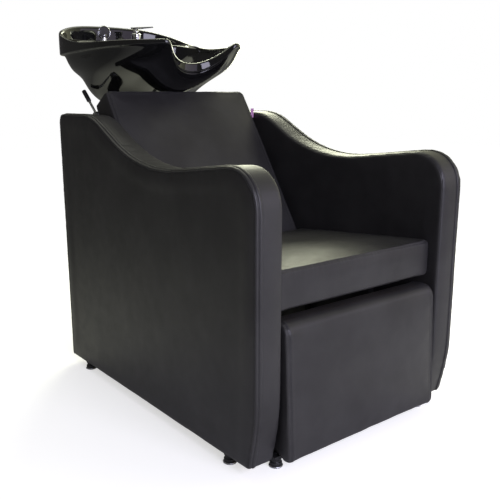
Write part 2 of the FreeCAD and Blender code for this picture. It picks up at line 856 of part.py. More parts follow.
def legrest():
    """The padded legrest that hangs in front and swings up about a shaft."""
    face, back = size("leg_face"), size("leg_back")
    low, top = size("leg_low"), size("leg_top")
    edge = size("leg_edge")

    def section(x, inset, swell):
        corners = [Vector(x, inset - face, inset - low), Vector(x, inset - face, top - inset),
                   Vector(x, -back - inset / 2, top - inset),
                   Vector(x, -back - inset / 2, inset - low + size("leg_heel_high")),
                   Vector(x, size("leg_toe_thick") - face - inset / 2, inset - low)]
        radii = (edge, size("leg_top_round"), edge, edge / 3, edge / 3)
        return soft_section(corners, radii, (-swell, 0, 0, 0, 0))

    pad = cushion(size("leg_half"), edge, size("leg_crown"), section)
    inset = size("leg_board_inset")
    thick = size("leg_board_thick")
    gap = size("skin_gap")
    half = size("leg_half") - inset
    pocket = Part.makeBox(2 * (half + gap), thick + 2 * gap, low + top - 2 * (inset - gap),
                          Vector(-half - gap, -back - thick - gap, inset - low - gap))
    base = Vector(0, size("hinge_y"), size("hinge_high"))
    node("legrest_pad", solid("leg_pad", pad.cut(pocket), base, -X_AXIS, size("leg_lean")))
    board = box("leg_plywood", "leg_board_inset - leg_half", "-leg_back - leg_board_thick",
                "leg_board_inset - leg_low", "2 * (leg_half - leg_board_inset)",
                "leg_board_thick", "leg_low + leg_top - 2 * leg_board_inset")
    node("legrest_board", on_leg("leg_board_hung", board))
    shaft = rod("leg_shaft", "-shaft_half", "0", "0", "shaft_radius", "2 * shaft_half", "x")
    node("legrest_shaft", on_leg("leg_shaft_hung", shaft))
    ear_x = "rail_inner - ear_gap - ear_thick"
    ear = fuse("leg_ear_blank",
               rod("leg_ear_eye", ear_x, "0", "0", "leg_eye_radius", "ear_thick", "x"),
               box("leg_ear_web", ear_x, "ear_pad_thick / 2 - leg_back", "-leg_eye_radius",
                   "ear_thick", "leg_back - ear_pad_thick / 2", "2 * leg_eye_radius"),
               box("leg_ear_pad", ear_x + " + ear_thick - ear_pad_wide", "-leg_back",
                   "-ear_pad_high", "ear_pad_wide", "ear_pad_thick",
                   "ear_pad_high + leg_eye_radius"))
    bore = rod("leg_ear_bore", ear_x + " - overrun", "0", "0", "shaft_radius + running_gap",
               "ear_thick + 2 * overrun", "x")
    ears = both("leg_ear_pair", cut("leg_ear", ear, bore))
    node("legrest_hinges", on_leg("leg_ears_hung", ears))

    post_x = "rail_inner"
    hole = "shaft_radius + bush_wall + running_gap"
    post = fuse("leg_post_blank",
                box("leg_post_bar", post_x, "hinge_y - leg_post_wide / 2", "rail_top",
                    "leg_post_thick", "leg_post_wide", "hinge_high - rail_top"),
                rod("leg_post_eye", post_x, "hinge_y", "hinge_high", "leg_eye_radius",
                    "leg_post_thick", "x"))
    post = cut("leg_post", post, rod("leg_post_bore", post_x + " - overrun", "hinge_y",
                                     "hinge_high", hole, "leg_post_thick + 2 * overrun", "x"))
    node("legrest_posts", both("leg_post_pair", post))
    bush = cut("leg_bush",
               rod("leg_bush_outer", post_x, "hinge_y", "hinge_high",
                   "shaft_radius + bush_wall", "leg_post_thick", "x"),
               rod("leg_bush_bore", post_x + " - overrun", "hinge_y", "hinge_high",
                   "shaft_radius + running_gap", "leg_post_thick + 2 * overrun", "x"))
    node("legrest_bushes", both("leg_bush_pair", bush))


def crank():
    """The slotted crank on the legrest shaft that the actuator pushes."""
    rim = "slot_outer + pin_radius + slot_clear + crank_rim"
    blank = fuse("crank_blank",
                 rod("crank_hub", "-crank_hub_half", "0", "0", "leg_eye_radius",
                     "2 * crank_hub_half", "x"),
                 box("crank_blade", "-crank_thick / 2", "-crank_half", "-(%s)" % rim,
                     "crank_thick", "2 * crank_half", rim))
    start = "-crank_thick / 2 - overrun"
    long = "crank_thick + 2 * overrun"
    slot = "pin_radius + slot_clear"
    tools = [box("crank_slot", start, "-(%s)" % slot, "-slot_outer", long,
                 "2 * (%s)" % slot, "slot_outer - slot_inner"),
             rod("crank_slot_top", start, "0", "-slot_inner", slot, long, "x"),
             rod("crank_slot_end", start, "0", "-slot_outer", slot, long, "x"),
             rod("crank_bore", "-crank_hub_half - overrun", "0", "0",
                 "shaft_radius + running_gap", "2 * (crank_hub_half + overrun)", "x")]
    piece = turned(group("crank_set", cut("crank_cut", blank, *tools)), X_AXIS, "crank_angle")
    node("legrest_crank", put(piece, "0", "hinge_y", "hinge_high"))


def actuator():
    """Electric linear actuator: rod with a fork, housing, gearbox, motor and bracket."""
    z = "actuator_high"
    inner = "crank_thick / 2 + fork_gap"
    cheek = box("fork_cheek", inner, "rod_pin_y - fork_half", z + " - fork_half",
                "fork_thick", "fork_half + fork_long + fork_thick", "2 * fork_half")
    bridge = box("fork_bridge", "-(%s) - fork_thick" % inner, "rod_pin_y + fork_long",
                 z + " - fork_half", "2 * (%s + fork_thick)" % inner, "fork_thick",
                 "2 * fork_half")
    stem = rod("rod_bar", "0", "rod_pin_y + fork_long + fork_thick / 2", z, "rod_radius",
               "rod_long", "y")
    hole = rod("fork_hole", "-(%s) - fork_thick - overrun" % inner, "rod_pin_y", z,
               "pin_radius + running_gap", "2 * (%s + fork_thick + overrun)" % inner, "x")
    blank = fuse("rod_blank", cheek, mirrored("fork_cheek_twin", cheek), bridge, stem)
    node("actuator_rod", cut("rod_with_fork", blank, hole))
    pin_long = inner + " + fork_thick + overrun"
    node("rod_pin", rod("rod_cross_pin", "-(%s)" % pin_long, "rod_pin_y", z, "pin_radius",
                        "2 * (%s)" % pin_long, "x"))

    front = "front_y + housing_start"
    rear = "front_y + housing_end"
    shell = fuse("housing_blank",
                 rod("housing_nose", "0", front, z, "nose_radius", "nose_long + overrun", "y"),
                 rod("housing_tube", "0", front + " + nose_long", z, "housing_radius",
                     "housing_end - housing_start - nose_long", "y"))
    bore = rod("housing_hole", "0", front + " - overrun", z, "rod_radius + running_gap",
               "housing_end - housing_start - nose_long", "y")
    node("actuator_housing", cut("housing", shell, bore))
    gear = fuse("gear_blank",
                box("gear_case", "-gear_half", rear, z + " - gear_drop", "2 * gear_half",
                    "gear_long", "gear_drop + gear_half"),
                box("gear_lug", "-lug_half", rear + " + gear_long - overrun",
                    z + " - lug_high / 2", "2 * lug_half", "lug_long + overrun", "lug_high"))
    anchor_y = "front_y + mid_cross_depth + cross_wide / 2"
    eye = rod("gear_eye", "-lug_half - overrun", anchor_y, z, "pin_radius + running_gap",
              "2 * (lug_half + overrun)", "x")
    node("actuator_gearbox", cut("gearbox", gear, eye))
    node("actuator_motor", rod("motor_can", "0", rear + " - motor_long",
                               z + " - motor_drop", "motor_radius", "motor_long", "y"))
    cheek_in = "lug_half + skin_gap"
    ear = box("anchor_cheek", cheek_in, anchor_y + " - cheek_wide / 2", "rail_top",
              "cheek_thick", "cheek_wide", "actuator_high + cheek_wide / 2 - rail_top")
    base = box("anchor_base", "-(%s)" % cheek_in, anchor_y + " - cheek_wide / 2", "rail_top",
               "2 * (%s)" % cheek_in, "cheek_wide", "cheek_thick")
    axle = rod("anchor_axle", "-(%s + cheek_thick)" % cheek_in, anchor_y, z, "pin_radius",
               "2 * (%s + cheek_thick)" % cheek_in, "x")
    node("actuator_bracket", fuse("anchor", ear, mirrored("anchor_cheek_twin", ear), base, axle))


def rear_cover():
    """The cover panel low on the back, its cleats and its screws."""
    high = "panel_high - panel_low"
    cleat = box("panel_cleat", "frame_half - cleat_wide", "panel_y - cleat_wide", "rail_top",
                "cleat_wide", "cleat_wide", "panel_high - rail_top")
    screws, holes, pilots = [], [], []
    x = "frame_half - screw_in"
    for name, z in (("low", "rail_top + screw_margin"), ("high", "panel_high - screw_margin")):
        head = rod("panel_screw_head_" + name, x, "panel_back_y", z, "screw_head_radius",
                   "screw_head_thick", "y")
        shank = rod("panel_screw_shank_" + name, x, "panel_y - screw_reach", z, "screw_radius",
                    "screw_reach + panel_thick + overrun / 2", "y")
        hole = rod("panel_screw_hole_" + name, x, "panel_y - screw_reach - skin_gap", z,
                   "screw_radius + running_gap", "screw_reach + panel_thick + overrun", "y")
        screw = fuse("panel_screw_" + name, head, shank)
        screws += [screw, mirrored(screw.Name + "_twin", screw)]
        holes += [hole, mirrored(hole.Name + "_twin", hole)]
        pilots.append(hole)
    node("panel_screws", group("panel_screw_set", *screws))
    node("panel_cleats", both("panel_cleat_pair", cut("cleat_drilled", cleat, *pilots)))
    start = "panel_y - overrun"
    through = "panel_thick + 2 * overrun"
    gap = " + skin_gap"
    holes += [rod("hot_hole", "hot_in", start, "water_high", "nipple_radius" + gap, through, "y"),
              rod("cold_hole", "cold_in", start, "water_high", "nipple_radius" + gap, through,
                  "y"),
              rod("waste_hole", "waste_side", start, "waste_high", "waste_radius" + gap,
                  through, "y"),
              box("power_hole", "-inlet_in - inlet_wide / 2 + inlet_bezel", start,
                  "panel_low + inlet_above + inlet_bezel", "inlet_wide - 2 * inlet_bezel",
                  through, "inlet_high - 2 * inlet_bezel")]
    for i, z in enumerate(BUTTON_HEIGHTS):
        holes.append(rod("button_hole_%d" % i, "-plate_in", start, z, "button_radius", through,
                         "y"))
    sheet = box("panel_board", "-frame_half", "panel_y", "panel_low", "2 * frame_half",
                "panel_thick", high)
    node("rear_panel", cut("panel_drilled", sheet, *holes))


def connections():
    """Water nipples, waste outlet and mains inlet in the rear panel."""
    pieces = []
    for name, x in (("hot", "hot_in"), ("cold", "cold_in")):
        riser_y = "panel_y - riser_in"
        body = rod(name + "_nipple", x, "panel_y - nipple_inner", "water_high", "nipple_radius",
                   "nipple_inner + panel_thick + nipple_reach", "y")
        nut = rod(name + "_nut", x, "panel_back_y", "water_high", "nipple_nut_radius",
                  "nipple_nut_thick", "y")
        riser = rod(name + "_riser", x, riser_y, "water_high", "inlet_riser_radius",
                    "inlet_riser_high", "z")
        pieces.append(fuse(name + "_inlet", body, nut, riser))
    node("water_inlets", group("water_inlet_set", *pieces))
    y = "panel_y - waste_inner + waste_radius"
    outer = fuse("waste_outer",
                 rod("waste_pipe", "waste_side", y, "waste_high", "waste_radius",
                     "waste_inner - waste_radius + panel_thick + waste_reach", "y"),
                 rod("waste_elbow", "waste_side", y, "waste_high - waste_radius",
                     "waste_radius", "waste_riser + waste_radius"),
                 rod("waste_nut", "waste_side", "panel_back_y", "waste_high",
                     "waste_radius + nipple_nut_thick", "nipple_nut_thick", "y"))
    inner = fuse("waste_inner_bore",
                 rod("waste_pipe_bore", "waste_side", y, "waste_high", "waste_bore",
                     "waste_inner + panel_thick + waste_reach", "y"),
                 rod("waste_elbow_bore", "waste_side", y, "waste_high", "waste_bore",
                     "waste_riser + overrun"))
    node("waste_outlet", cut("waste_stub", outer, inner))
    low = "panel_low + inlet_above"
    bezel = box("power_bezel", "-inlet_in - inlet_wide / 2", "panel_back_y", low, "inlet_wide",
                "inlet_bezel", "inlet_high")
    gap = "inlet_bezel + skin_gap"
    socket = box("power_body", "-inlet_in - inlet_wide / 2 + " + gap,
                 "panel_back_y - inlet_body_deep", low + " + " + gap,
                 "inlet_wide - 2 * (%s)" % gap, "inlet_body_deep + inlet_bezel / 2",
                 "inlet_high - 2 * (%s)" % gap)
    mouth = box("power_mouth", "-inlet_in - inlet_wide / 2 + 2 * inlet_bezel",
                "panel_back_y - inlet_body_deep + 2 * inlet_bezel", low + " + 2 * inlet_bezel",
                "inlet_wide - 4 * inlet_bezel", "inlet_body_deep",
                "inlet_high - 4 * inlet_bezel")
    node("power_inlet", cut("power_socket", fuse("power_blank", bezel, socket), mouth))
    node("control_box", box("control_case", "box_edge - rail_inner",
                            "column_y - box_deep / 2", "rail_top", "box_wide", "box_deep",
                            "box_high"))


def controls():
    """The control plate on the rear panel, with an up and a down button."""
    plate = box("plate_blank", "-plate_in - plate_wide / 2", "panel_back_y", "plate_low",
                "plate_wide", "plate_thick", "plate_high")
    holes = [rod("plate_hole_%d" % i, "-plate_in", "panel_back_y - overrun", z,
                 "button_radius - button_flange + running_gap", "plate_thick + 2 * overrun",
                 "y")
             for i, z in enumerate(BUTTON_HEIGHTS)]
    node("control_plate", cut("plate_drilled", plate, *holes))
    for name, z in zip(("button_down", "button_up"), BUTTON_HEIGHTS):
        cap = rod(name + "_cap", "-plate_in", "panel_back_y - overrun", z,
                  "button_radius - button_flange", "overrun + plate_thick + button_proud", "y")
        flange = rod(name + "_flange", "-plate_in", "panel_back_y - skin_gap - button_flange",
                     z, "button_radius - skin_gap", "button_flange", "y")
        node(name, fuse(name + "_body", cap, flange))


def column():
    """The steel column behind the backrest and the tilt pivot on top of it."""
    node("basin_column", tube("column", "-column_wide / 2", "column_y", "rail_top",
                              "column_wide", "column_deep", "column_high - rail_top", "z"))
    corners = [("column_y", "column_high - bracket_foot"),
               ("column_y + column_deep", "column_high - bracket_foot"),
               ("pivot_y", "pivot_high - pivot_tube_radius / 2"),
               ("pivot_y", "pivot_high + pivot_tube_radius / 2"),
               ("column_y", "column_high")]
    cheek = profile_pad("bracket_cheek", corners, "bracket_thick", "column_wide / 2")
    sleeve = rod("pivot_tube", "-pivot_tube_half", "pivot_y", "pivot_high",
                 "pivot_tube_radius", "2 * pivot_tube_half", "x")
    blank = fuse("bracket_blank", cheek, mirrored("bracket_cheek_twin", cheek), sleeve)
    bore = rod("pivot_bore", "-pivot_tube_half - overrun", "pivot_y", "pivot_high",
               "pin_shaft_radius + running_gap", "2 * (pivot_tube_half + overrun)", "x")
    node("pivot_bracket", cut("bracket", blank, bore))
    left = "hub_outer + skin_gap + pin_cap"
    pin = fuse("pin_blank",
               rod("pin_shaft", "-(%s)" % left, "pivot_y", "pivot_high", "pin_shaft_radius",
                   "%s + ear_outer + skin_gap + pin_cap" % left, "x"),
               rod("pin_nut", "-(%s)" % left, "pivot_y", "pivot_high",
                   "pin_shaft_radius + pin_cap", "pin_cap", "x"),
               rod("pin_head", "ear_outer + skin_gap", "pivot_y", "pivot_high",
                   "pin_shaft_radius + pin_cap", "pin_cap", "x"))
    node("tilt_pin", pin)


def cradle():
    """The plate under the basin, with two ears that hang on the tilt pin."""
    low = "cradle_top - cradle_thick"
    long = "cradle_rear - cradle_front"
    ear = fuse("cradle_ear",
               rod("cradle_eye", "ear_inner", "pivot_y", "pivot_high", "cradle_ear_radius",
                   "cradle_ear_thick", "x"),
               box("cradle_web", "ear_inner", "pivot_y - cradle_ear_radius", "pivot_high",
                   "cradle_ear_thick", "2 * cradle_ear_radius",
                   "cradle_top - cradle_thick / 2 - pivot_high"))
    blank = fuse("cradle_blank",
                 box("cradle_plate", "-cradle_half", "front_y + cradle_front", low,
                     "2 * cradle_half", long, "cradle_thick"),
                 box("cradle_arm", "-ear_outer", "pivot_y - cradle_arm_half", low,
                     "2 * ear_outer", "2 * cradle_arm_half", "cradle_thick"),
                 ear, mirrored("cradle_ear_twin", ear))
    tools = [rod("cradle_pin_hole", "-ear_outer - overrun", "pivot_y", "pivot_high",
                 "pin_shaft_radius + running_gap", "2 * (ear_outer + overrun)", "x"),
             rod("cradle_waste_hole", "0", "drain_y", low + " - overrun", "cradle_hole_radius",
                 "cradle_thick + 2 * overrun")]
    bolts = []
    for name, depth in (("front", "cradle_front + cradle_bolt_in"),
                        ("rear", "cradle_rear - cradle_bolt_in")):
        y = "front_y + " + depth
        tools += [rod("cradle_hole_" + name, "cradle_bolt_x", y, low + " - overrun",
                      "cradle_bolt_radius + running_gap", "cradle_thick + 2 * overrun")]
        tools += [mirrored("cradle_hole_twin_" + name, tools[-1])]
        head = rod("cradle_nut_" + name, "cradle_bolt_x", y, low + " - cradle_nut_thick",
                   "cradle_nut_radius", "cradle_nut_thick")
        shank = rod("cradle_shank_" + name, "cradle_bolt_x", y, low + " - overrun",
                    "cradle_bolt_radius", "overrun + cradle_thick + cradle_bolt_reach")
        bolt = fuse("cradle_bolt_" + name, head, shank)
        bolts += [bolt, mirrored("cradle_bolt_twin_" + name, bolt)]
    node("basin_cradle", cut("cradle_drilled", blank, *tools))
    node("cradle_bolts", group("cradle_bolt_set", *bolts))


def tilt_lever():
    """The clamp lever on the end of the tilt pin, with a plastic grip."""
    hub = rod("lever_hub", "-hub_outer", "0", "0", "lever_hub_radius", "lever_hub_long", "x")
    x = "-(hub_outer - grip_radius)"
    bar = rod("lever_bar", x, "0", "0", "lever_radius", "lever_long + grip_cover", "y")
    bore = rod("lever_bore", "-hub_outer - overrun", "0", "0", "pin_shaft_radius + running_gap",
               "lever_hub_long + 2 * overrun", "x")
    metal = group("lever_set", cut("lever_cut", fuse("lever_blank", hub, bar), bore))
    node("tilt_lever", put(turned(metal, X_AXIS, "lever_rise"), "0", "pivot_y", "pivot_high"))
    sleeve = cut("grip_cut",
                 rod("grip_outer", x, "lever_long", "0", "grip_radius", "grip_long", "y"),
                 rod("grip_bore", x, "lever_long - overrun", "0", "lever_radius + running_gap",
                     "grip_cover + overrun + skin_gap", "y"))
    grip = turned(group("grip_set", sleeve), X_AXIS, "lever_rise")
    node("lever_grip", put(grip, "0", "pivot_y", "pivot_high"))


# Half of the rim's outline from the front centre to the rear centre, as shares of the
# half width and of the depth.
RIM_shares = ((0, 0.11), (0.2, 0.095), (0.36, 0.045), (0.46, 0.004), (0.56, 0.012),
              (0.72, 0.085), (0.88, 0.2), (0.975, 0.35), (1, 0.5), (1, 0.64), (0.985, 0.78),
              (0.9, 0.885), (0.66, 0.965), (0.34, 0.995), (0, 1))
# How much each of those points takes part in the dent for the neck.
DENT_shares = (1, 0.86, 0.4, 0.03) + (0,) * 11
# Sections of the outer body from the foot to the band: front and rear as shares of the
# depth, half width, height at the front and the rear as shares of the height, and how
# far the section has turned from an ellipse into the rim's outline.
BODY_shares = ((0.434, 0.734, 0.425, 0, 0, 0), (0.4, 0.82, 0.607, 0.117, 0.117, 0),
               (0.336, 0.868, 0.77, 0.33, 0.33, 0.1), (0.202, 0.899, 0.874, 0.5, 0.57, 0.35),
               (0.074, 0.931, 0.935, 0.72, 0.72, 0.75), (0.003, 0.962, 0.965, 1, 1, 1))
# Sections of the bowl from its floor up, in the same way.
BOWL_shares = ((0.589, 0.889, 0.362, 0, 0, 0), (0.531, 0.935, 0.532, 0.1, 0.1, 0),
               (0.439, 0.97, 0.702, 0.331, 0.331, 0.1), (0.254, 0.991, 0.83, 0.622, 0.622, 0.35),
               (0.092, 1, 0.928, 0.837, 0.837, 0.75), (0, 1, 1, 1, 1, 1))


def bowl_section(front, rear, half, heights, bend, dent=0):
    """A closed curve across the basin, between an ellipse and the rim's outline."""
    count = len(RIM_shares) - 1
    deep = rear - front
    right = []
    for i, (wide, back) in enumerate(RIM_shares):
        turn = math.pi * i / count
        x = half * ((1 - bend) * math.sin(turn) + bend * wide)
        y = deep * ((1 - bend) * (1 - math.cos(turn)) / 2 + bend * back)
        y += bend * dent * DENT_shares[i]
        share = y / deep
        right.append(Vector(x, front + y, heights[0] + (heights[1] - heights[0]) * share))
    left = [Vector(-point.x, point.y, point.z) for point in reversed(right[1:-1])]
    curve = Part.BSplineCurve()
    curve.interpolate(Points=right + left, PeriodicFlag=True)
    return Part.Wire(curve.toShape())


def basin_loft(table, front, rear, half, low, tops, dent=0):
    """A loft through the sections of a table of shares."""
    wires = []
    for row in table:
        heights = [low + (top - low) * share for top, share in zip(tops, row[3:5])]
        wires.append(bowl_section(front + (rear - front) * row[0], front + (rear - front) * row[1],
                                  half * row[2], heights, row[5], dent))
    return Part.makeLoft(wires, True, False)


def rim_profile(front, rear, low, high):
    """The rim seen from the side: level over the sides, then one arc up to the rear."""
    y = size("front_y")
    side = size("half_wide")
    level = size("horn_high")
    start = y + size("rim_rise_depth")
    end = y + size("rim_rear_depth")
    rise = size("rim_rear_high") - level
    radius = ((end - start) ** 2 + rise ** 2) / (2 * rise)
    angle = math.asin((end - start) / radius)
    middle = Vector(-side, start + radius * math.sin(angle / 2),
                    level + radius * (1 - math.cos(angle / 2)))
    begin = Vector(-side, start, level)
    finish = Vector(-side, end, level + rise)
    beyond = Vector(-side, rear, high)
    corners = [Vector(-side, front, low[0]), Vector(-side, front, level), begin]
    edges = [Part.LineSegment(a, b).toShape() for a, b in zip(corners, corners[1:])]
    edges.append(Part.Arc(begin, middle, finish).toShape())
    tail = [finish, beyond, Vector(-side, rear, low[1]), corners[0]]
    edges += [Part.LineSegment(a, b).toShape() for a, b in zip(tail, tail[1:])]
    return Part.Face(Part.Wire(edges)).extrude(X_AXIS * 2 * side)


def basin():
    """The shampoo basin: a body that swells up to a rim band, with a bowl, a neck and a deck."""
    y = size("front_y")
    front, rear = y + size("horn_depth"), y + size("rim_rear_depth")
    half = size("rim_half")
    band = (size("band_front_high"), size("band_rear_high"))
    top = size("rim_rear_high")
    body = basin_loft(BODY_shares, front, rear, half, size("basin_low"), band)
    slope = (band[1] - band[0]) / (rear - front)
    margin = size("pivot_tube_radius")
    low = (band[0] - slope * margin, band[1] + slope * margin)
    plan = bowl_section(front, rear, half, (size("basin_low"),) * 2, 1)
    prism = Part.Face(plan).extrude(Z_AXIS * (top + margin - size("basin_low")))
    rim = prism.common(rim_profile(front - margin, rear + margin, low, top + margin))
    basin = body.fuse(rim).removeSplitter()

    bowl_top = (size("bowl_top_high"),) * 2
    bowl_rear = y + size("deck_front")
    bowl_front = y + size("bowl_front_depth")
    cavity = basin_loft(BOWL_shares, bowl_front, bowl_rear, size("bowl_half"),
                        size("bowl_floor_high"), bowl_top, size("bowl_dent"))
    mouth = bowl_section(bowl_front, bowl_rear, size("bowl_half"), bowl_top, 1,
                         size("bowl_dent"))
    shaft = Part.Face(mouth).extrude(Z_AXIS * (top + margin - bowl_top[0]))
    wall = size("deck_wall")
    recess = bowl_section(front + wall, rear - wall, half - wall, (size("deck_high"),) * 2, 1)
    recess = Part.Face(recess).extrude(Z_AXIS * (top + margin - size("deck_high")))
    neck = Part.makeCylinder(size("neck_radius"), size("neck_rear_depth") - size("horn_depth"),
                             Vector(0, front, size("neck_high") + size("neck_radius")), Y_AXIS)
    service = Part.makeBox(2 * size("service_half"),
                           size("service_rear_depth") - size("service_front_depth"),
                           size("deck_under") - size("basin_low"),
                           Vector(-size("service_half"), y + size("service_front_depth"),
                                  size("basin_low")))
    under = Part.makeBox(2 * half, rear - front, margin,
                         Vector(-half, front, size("basin_low") - margin))
    for tool in (cavity, shaft, recess, neck, service, under):
        basin = basin.cut(tool)

    low = size("basin_low")
    gap = size("running_gap")
    holes = [Part.makeCylinder(size("drain_radius"), size("bowl_floor_high") - low + gap,
                               Vector(0, size("drain_y"), low))]
    for x, place, radius in ((size("tap_x"), "tap_y", "shank_radius"),
                             (size("shower_x"), "shower_y", "handle_radius")):
        holes.append(Part.makeCylinder(size(radius) + size("skin_gap"),
                                       size("deck_thick") + 2 * wall,
                                       Vector(x, size(place), size("deck_under") - wall)))
    for depth in (size("cradle_front") + size("cradle_bolt_in"),
                  size("cradle_rear") - size("cradle_bolt_in")):
        for x in (-size("cradle_bolt_x"), size("cradle_bolt_x")):
            holes.append(Part.makeCylinder(size("cradle_bolt_radius") + gap,
                                           size("cradle_bolt_reach") + gap,
                                           Vector(x, y + depth, low)))
    for hole in holes:
        basin = basin.cut(hole)
    node("basin", solid("basin_shell", basin))


def waste():
    """Waste flange in the bowl, the tail under it and the lift-out strainer."""
    floor = "bowl_floor_high"
    seat = rod("flange_seat", "0", "drain_y", floor, "flange_radius", "flange_thick")
    spigot = rod("flange_spigot", "0", "drain_y", floor + " - spigot_long", "spigot_radius",
                 "spigot_long + flange_thick / 2")
    bore = rod("flange_hole", "0", "drain_y", floor + " - spigot_long - overrun", "flange_bore",
               "spigot_long + flange_thick + 2 * overrun")
    node("waste_flange", cut("flange", fuse("flange_blank", seat, spigot), bore))
    collar = rod("tail_collar", "0", "drain_y", "basin_low - collar_high", "collar_radius",
                 "collar_high")
    pipe = rod("tail_pipe", "0", "drain_y", "basin_low - tail_long",
               "spigot_radius + running_gap + tail_wall", "tail_long - collar_high / 2")
    inside = rod("tail_bore", "0", "drain_y", "basin_low - tail_long - overrun",
                 "spigot_radius + running_gap", "tail_long + 2 * overrun")
    node("waste_tail", cut("tail", fuse("tail_blank", collar, pipe), inside))
    top = floor + " + flange_thick"
    disc = fuse("strainer_blank",
                rod("strainer_disc", "0", "drain_y", top, "strainer_radius", "strainer_thick"),
                rod("strainer_skirt", "0", "drain_y", top + " - strainer_deep",
                    "strainer_stem", "strainer_deep + overrun / 2"))
    tools = [rod("strainer_inside", "0", "drain_y", top + " - strainer_deep - overrun",
                 "strainer_stem - tail_wall", "strainer_deep + overrun")]
    for i in range(STRAINER_HOLES):
        turn = 360 / STRAINER_HOLES * i
        tools.append(rod("strainer_hole_%d" % i, "strainer_ring * cos(%g)" % turn,
                         "drain_y + strainer_ring * sin(%g)" % turn, top + " - overrun",
                         "strainer_hole", "strainer_thick + 2 * overrun"))
    node("strainer", cut("strainer_drilled", disc, *tools))


def mixer():
    """Single lever mixer: a body on the deck, a cap that turns and a lever that lifts."""
    foot = "deck_high - shank_long"
    node("mixer_body", fuse(
        "mixer_blank",
        rod("mixer_barrel", "tap_x", "tap_y", "deck_high", "tap_radius", "tap_high"),
        rod("mixer_shank", "tap_x", "tap_y", foot, "shank_radius", "shank_long + tap_high / 2"),
        rod("mixer_manifold", "tap_x", "tap_y", foot, "manifold_radius", "manifold_thick")))
    nut = rod("mixer_nut_blank", "tap_x", "tap_y", "deck_under - nut_thick", "nut_radius",
              "nut_thick")
    hole = rod("mixer_nut_bore", "tap_x", "tap_y", "deck_under - nut_thick - overrun",
               "shank_radius + running_gap", "nut_thick + 2 * overrun")
    node("mixer_nut", cut("mixer_ring", nut, hole))

    dome = rod("cap_disc", "0", "0", "-stem_high / 2 - cap_high", "tap_radius", "cap_high")
    stem = box("cap_stem", "-stem_half", "-stem_deep / 2", "-stem_high / 2 - overrun",
               "2 * stem_half", "stem_deep", "stem_high / 2 + overrun")
    knuckle = rod("cap_knuckle", "-stem_half", "0", "0", "stem_deep / 2", "2 * stem_half", "x")
    axle = rod("cap_axle", "-stem_half - lever_cheek", "0", "0", "lever_axle_radius",
               "2 * (stem_half + lever_cheek)", "x")
    cap = group("cap_set", fuse("cap_blank", dome, stem, knuckle, axle))
    node("mixer_cap", put(turned(cap, Z_AXIS, "lever_turn"), "tap_x", "tap_y",
                          "lever_axle_high"))

    cheek_x = "stem_half + running_gap"
    cheek = rod("lever_eye", cheek_x, "0", "0", "stem_deep / 2", "lever_cheek", "x")
    web = box("lever_web", cheek_x, "-stem_deep / 2", "0", "lever_cheek", "stem_deep",
              "lever_plate_low + lever_plate_thick / 2")
    plate = doc.addObject("Part::Wedge", "lever_wedge")
    bind(plate, Xmin="-lever_plate_half", Xmax="lever_plate_half",
         X2min="-lever_tip_half", X2max="lever_tip_half",
         Ymin="-lever_plate_rear", Ymax="lever_plate_front",
         Zmin="0", Zmax="lever_plate_thick", Z2min="lever_plate_thick / 2",
         Z2max="lever_plate_thick")
    flip = doc.addObject("Part::Compound", "lever_plate")
    flip.Links = [plate]
    flip.Placement = FreeCAD.Placement(Vector(), FreeCAD.Rotation(Z_AXIS, 180))
    put(flip, "0", "0", "lever_plate_low")
    bore = rod("lever_hole", "-%s - lever_cheek - overrun" % cheek_x.replace("+", "-"), "0", "0",
               "lever_axle_radius + running_gap", "2 * (%s + lever_cheek + overrun)" % cheek_x,
               "x")
    blank = fuse("mixer_lever_blank", cheek, mirrored("lever_eye_twin", cheek), web,
                 mirrored("lever_web_twin", web), flip)
    lever = group("mixer_lever_set", cut("mixer_lever_cut", blank, bore))
    node("mixer_lever", put(turned(lever, Z_AXIS, "lever_turn"), "tap_x", "tap_y",
                            "lever_axle_high"))


def hand_shower():
    """The hand shower that stands in its holder ring on the deck."""
    ring = rod("holder_blank", "shower_x", "shower_y", "deck_high", "holder_radius",
               "holder_high")
    hole = rod("holder_bore", "shower_x", "shower_y", "deck_high - overrun",
               "handle_radius + running_gap", "holder_high + 2 * overrun")
    node("shower_holder", cut("holder", ring, hole))
    low = "deck_high - handle_sunk"
    head_z = "deck_high + handle_rise + head_radius - overrun"
    cone = doc.addObject("Part::Cone", "shower_tail")
    bind(cone, Radius1="tail_cone_radius", Radius2="handle_radius", Height="tail_cone_long")
    put(cone, "shower_x", "shower_y", low + " - tail_cone_long")
    handle = rod("shower_handle", "shower_x", "shower_y", low, "handle_radius",
                 "handle_sunk + handle_rise")
    head = rod("shower_head", "shower_x", "shower_y - head_thick / 2", head_z, "head_radius",
               "head_thick", "y")
    node("hand_shower", fuse("shower_body", cone, handle, head))
    node("spray_face", rod("spray_disc", "shower_x", "shower_y - head_thick / 2 - face_thick",
                           head_z, "face_radius", "face_thick", "y"))


levelling_feet()
base_frame()
arm_bolts()
arms()
seat()
backrest()
legrest()
crank()
actuator()
rear_cover()
connections()
controls()
column()
cradle()
tilt_lever()
basin()
waste()
mixer()
hand_shower()
doc.recompute()

for thing in doc.Objects:
    if "Invalid" in thing.State or "Error" in thing.State:
        raise RuntimeError("%s could not be made" % thing.Name)
for piece in nodes:
    if piece.Shape.isNull() or not piece.Shape.isValid():
        raise RuntimeError("%s has no sound shape" % piece.Label)

os.makedirs("parts", exist_ok=True)
for piece in nodes:
    piece.Shape.exportStep("parts/%s.step" % piece.Label)
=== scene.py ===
"""Looks of the salon hair washing bed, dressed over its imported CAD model.

Metres, in the model's own frame: X runs across the chair, -Y is the front, +Z is up.
"""
import json
import math

import bpy
import numpy as np
from mathutils import Matrix, Vector, kdtree, noise
from mathutils.bvhtree import BVHTree


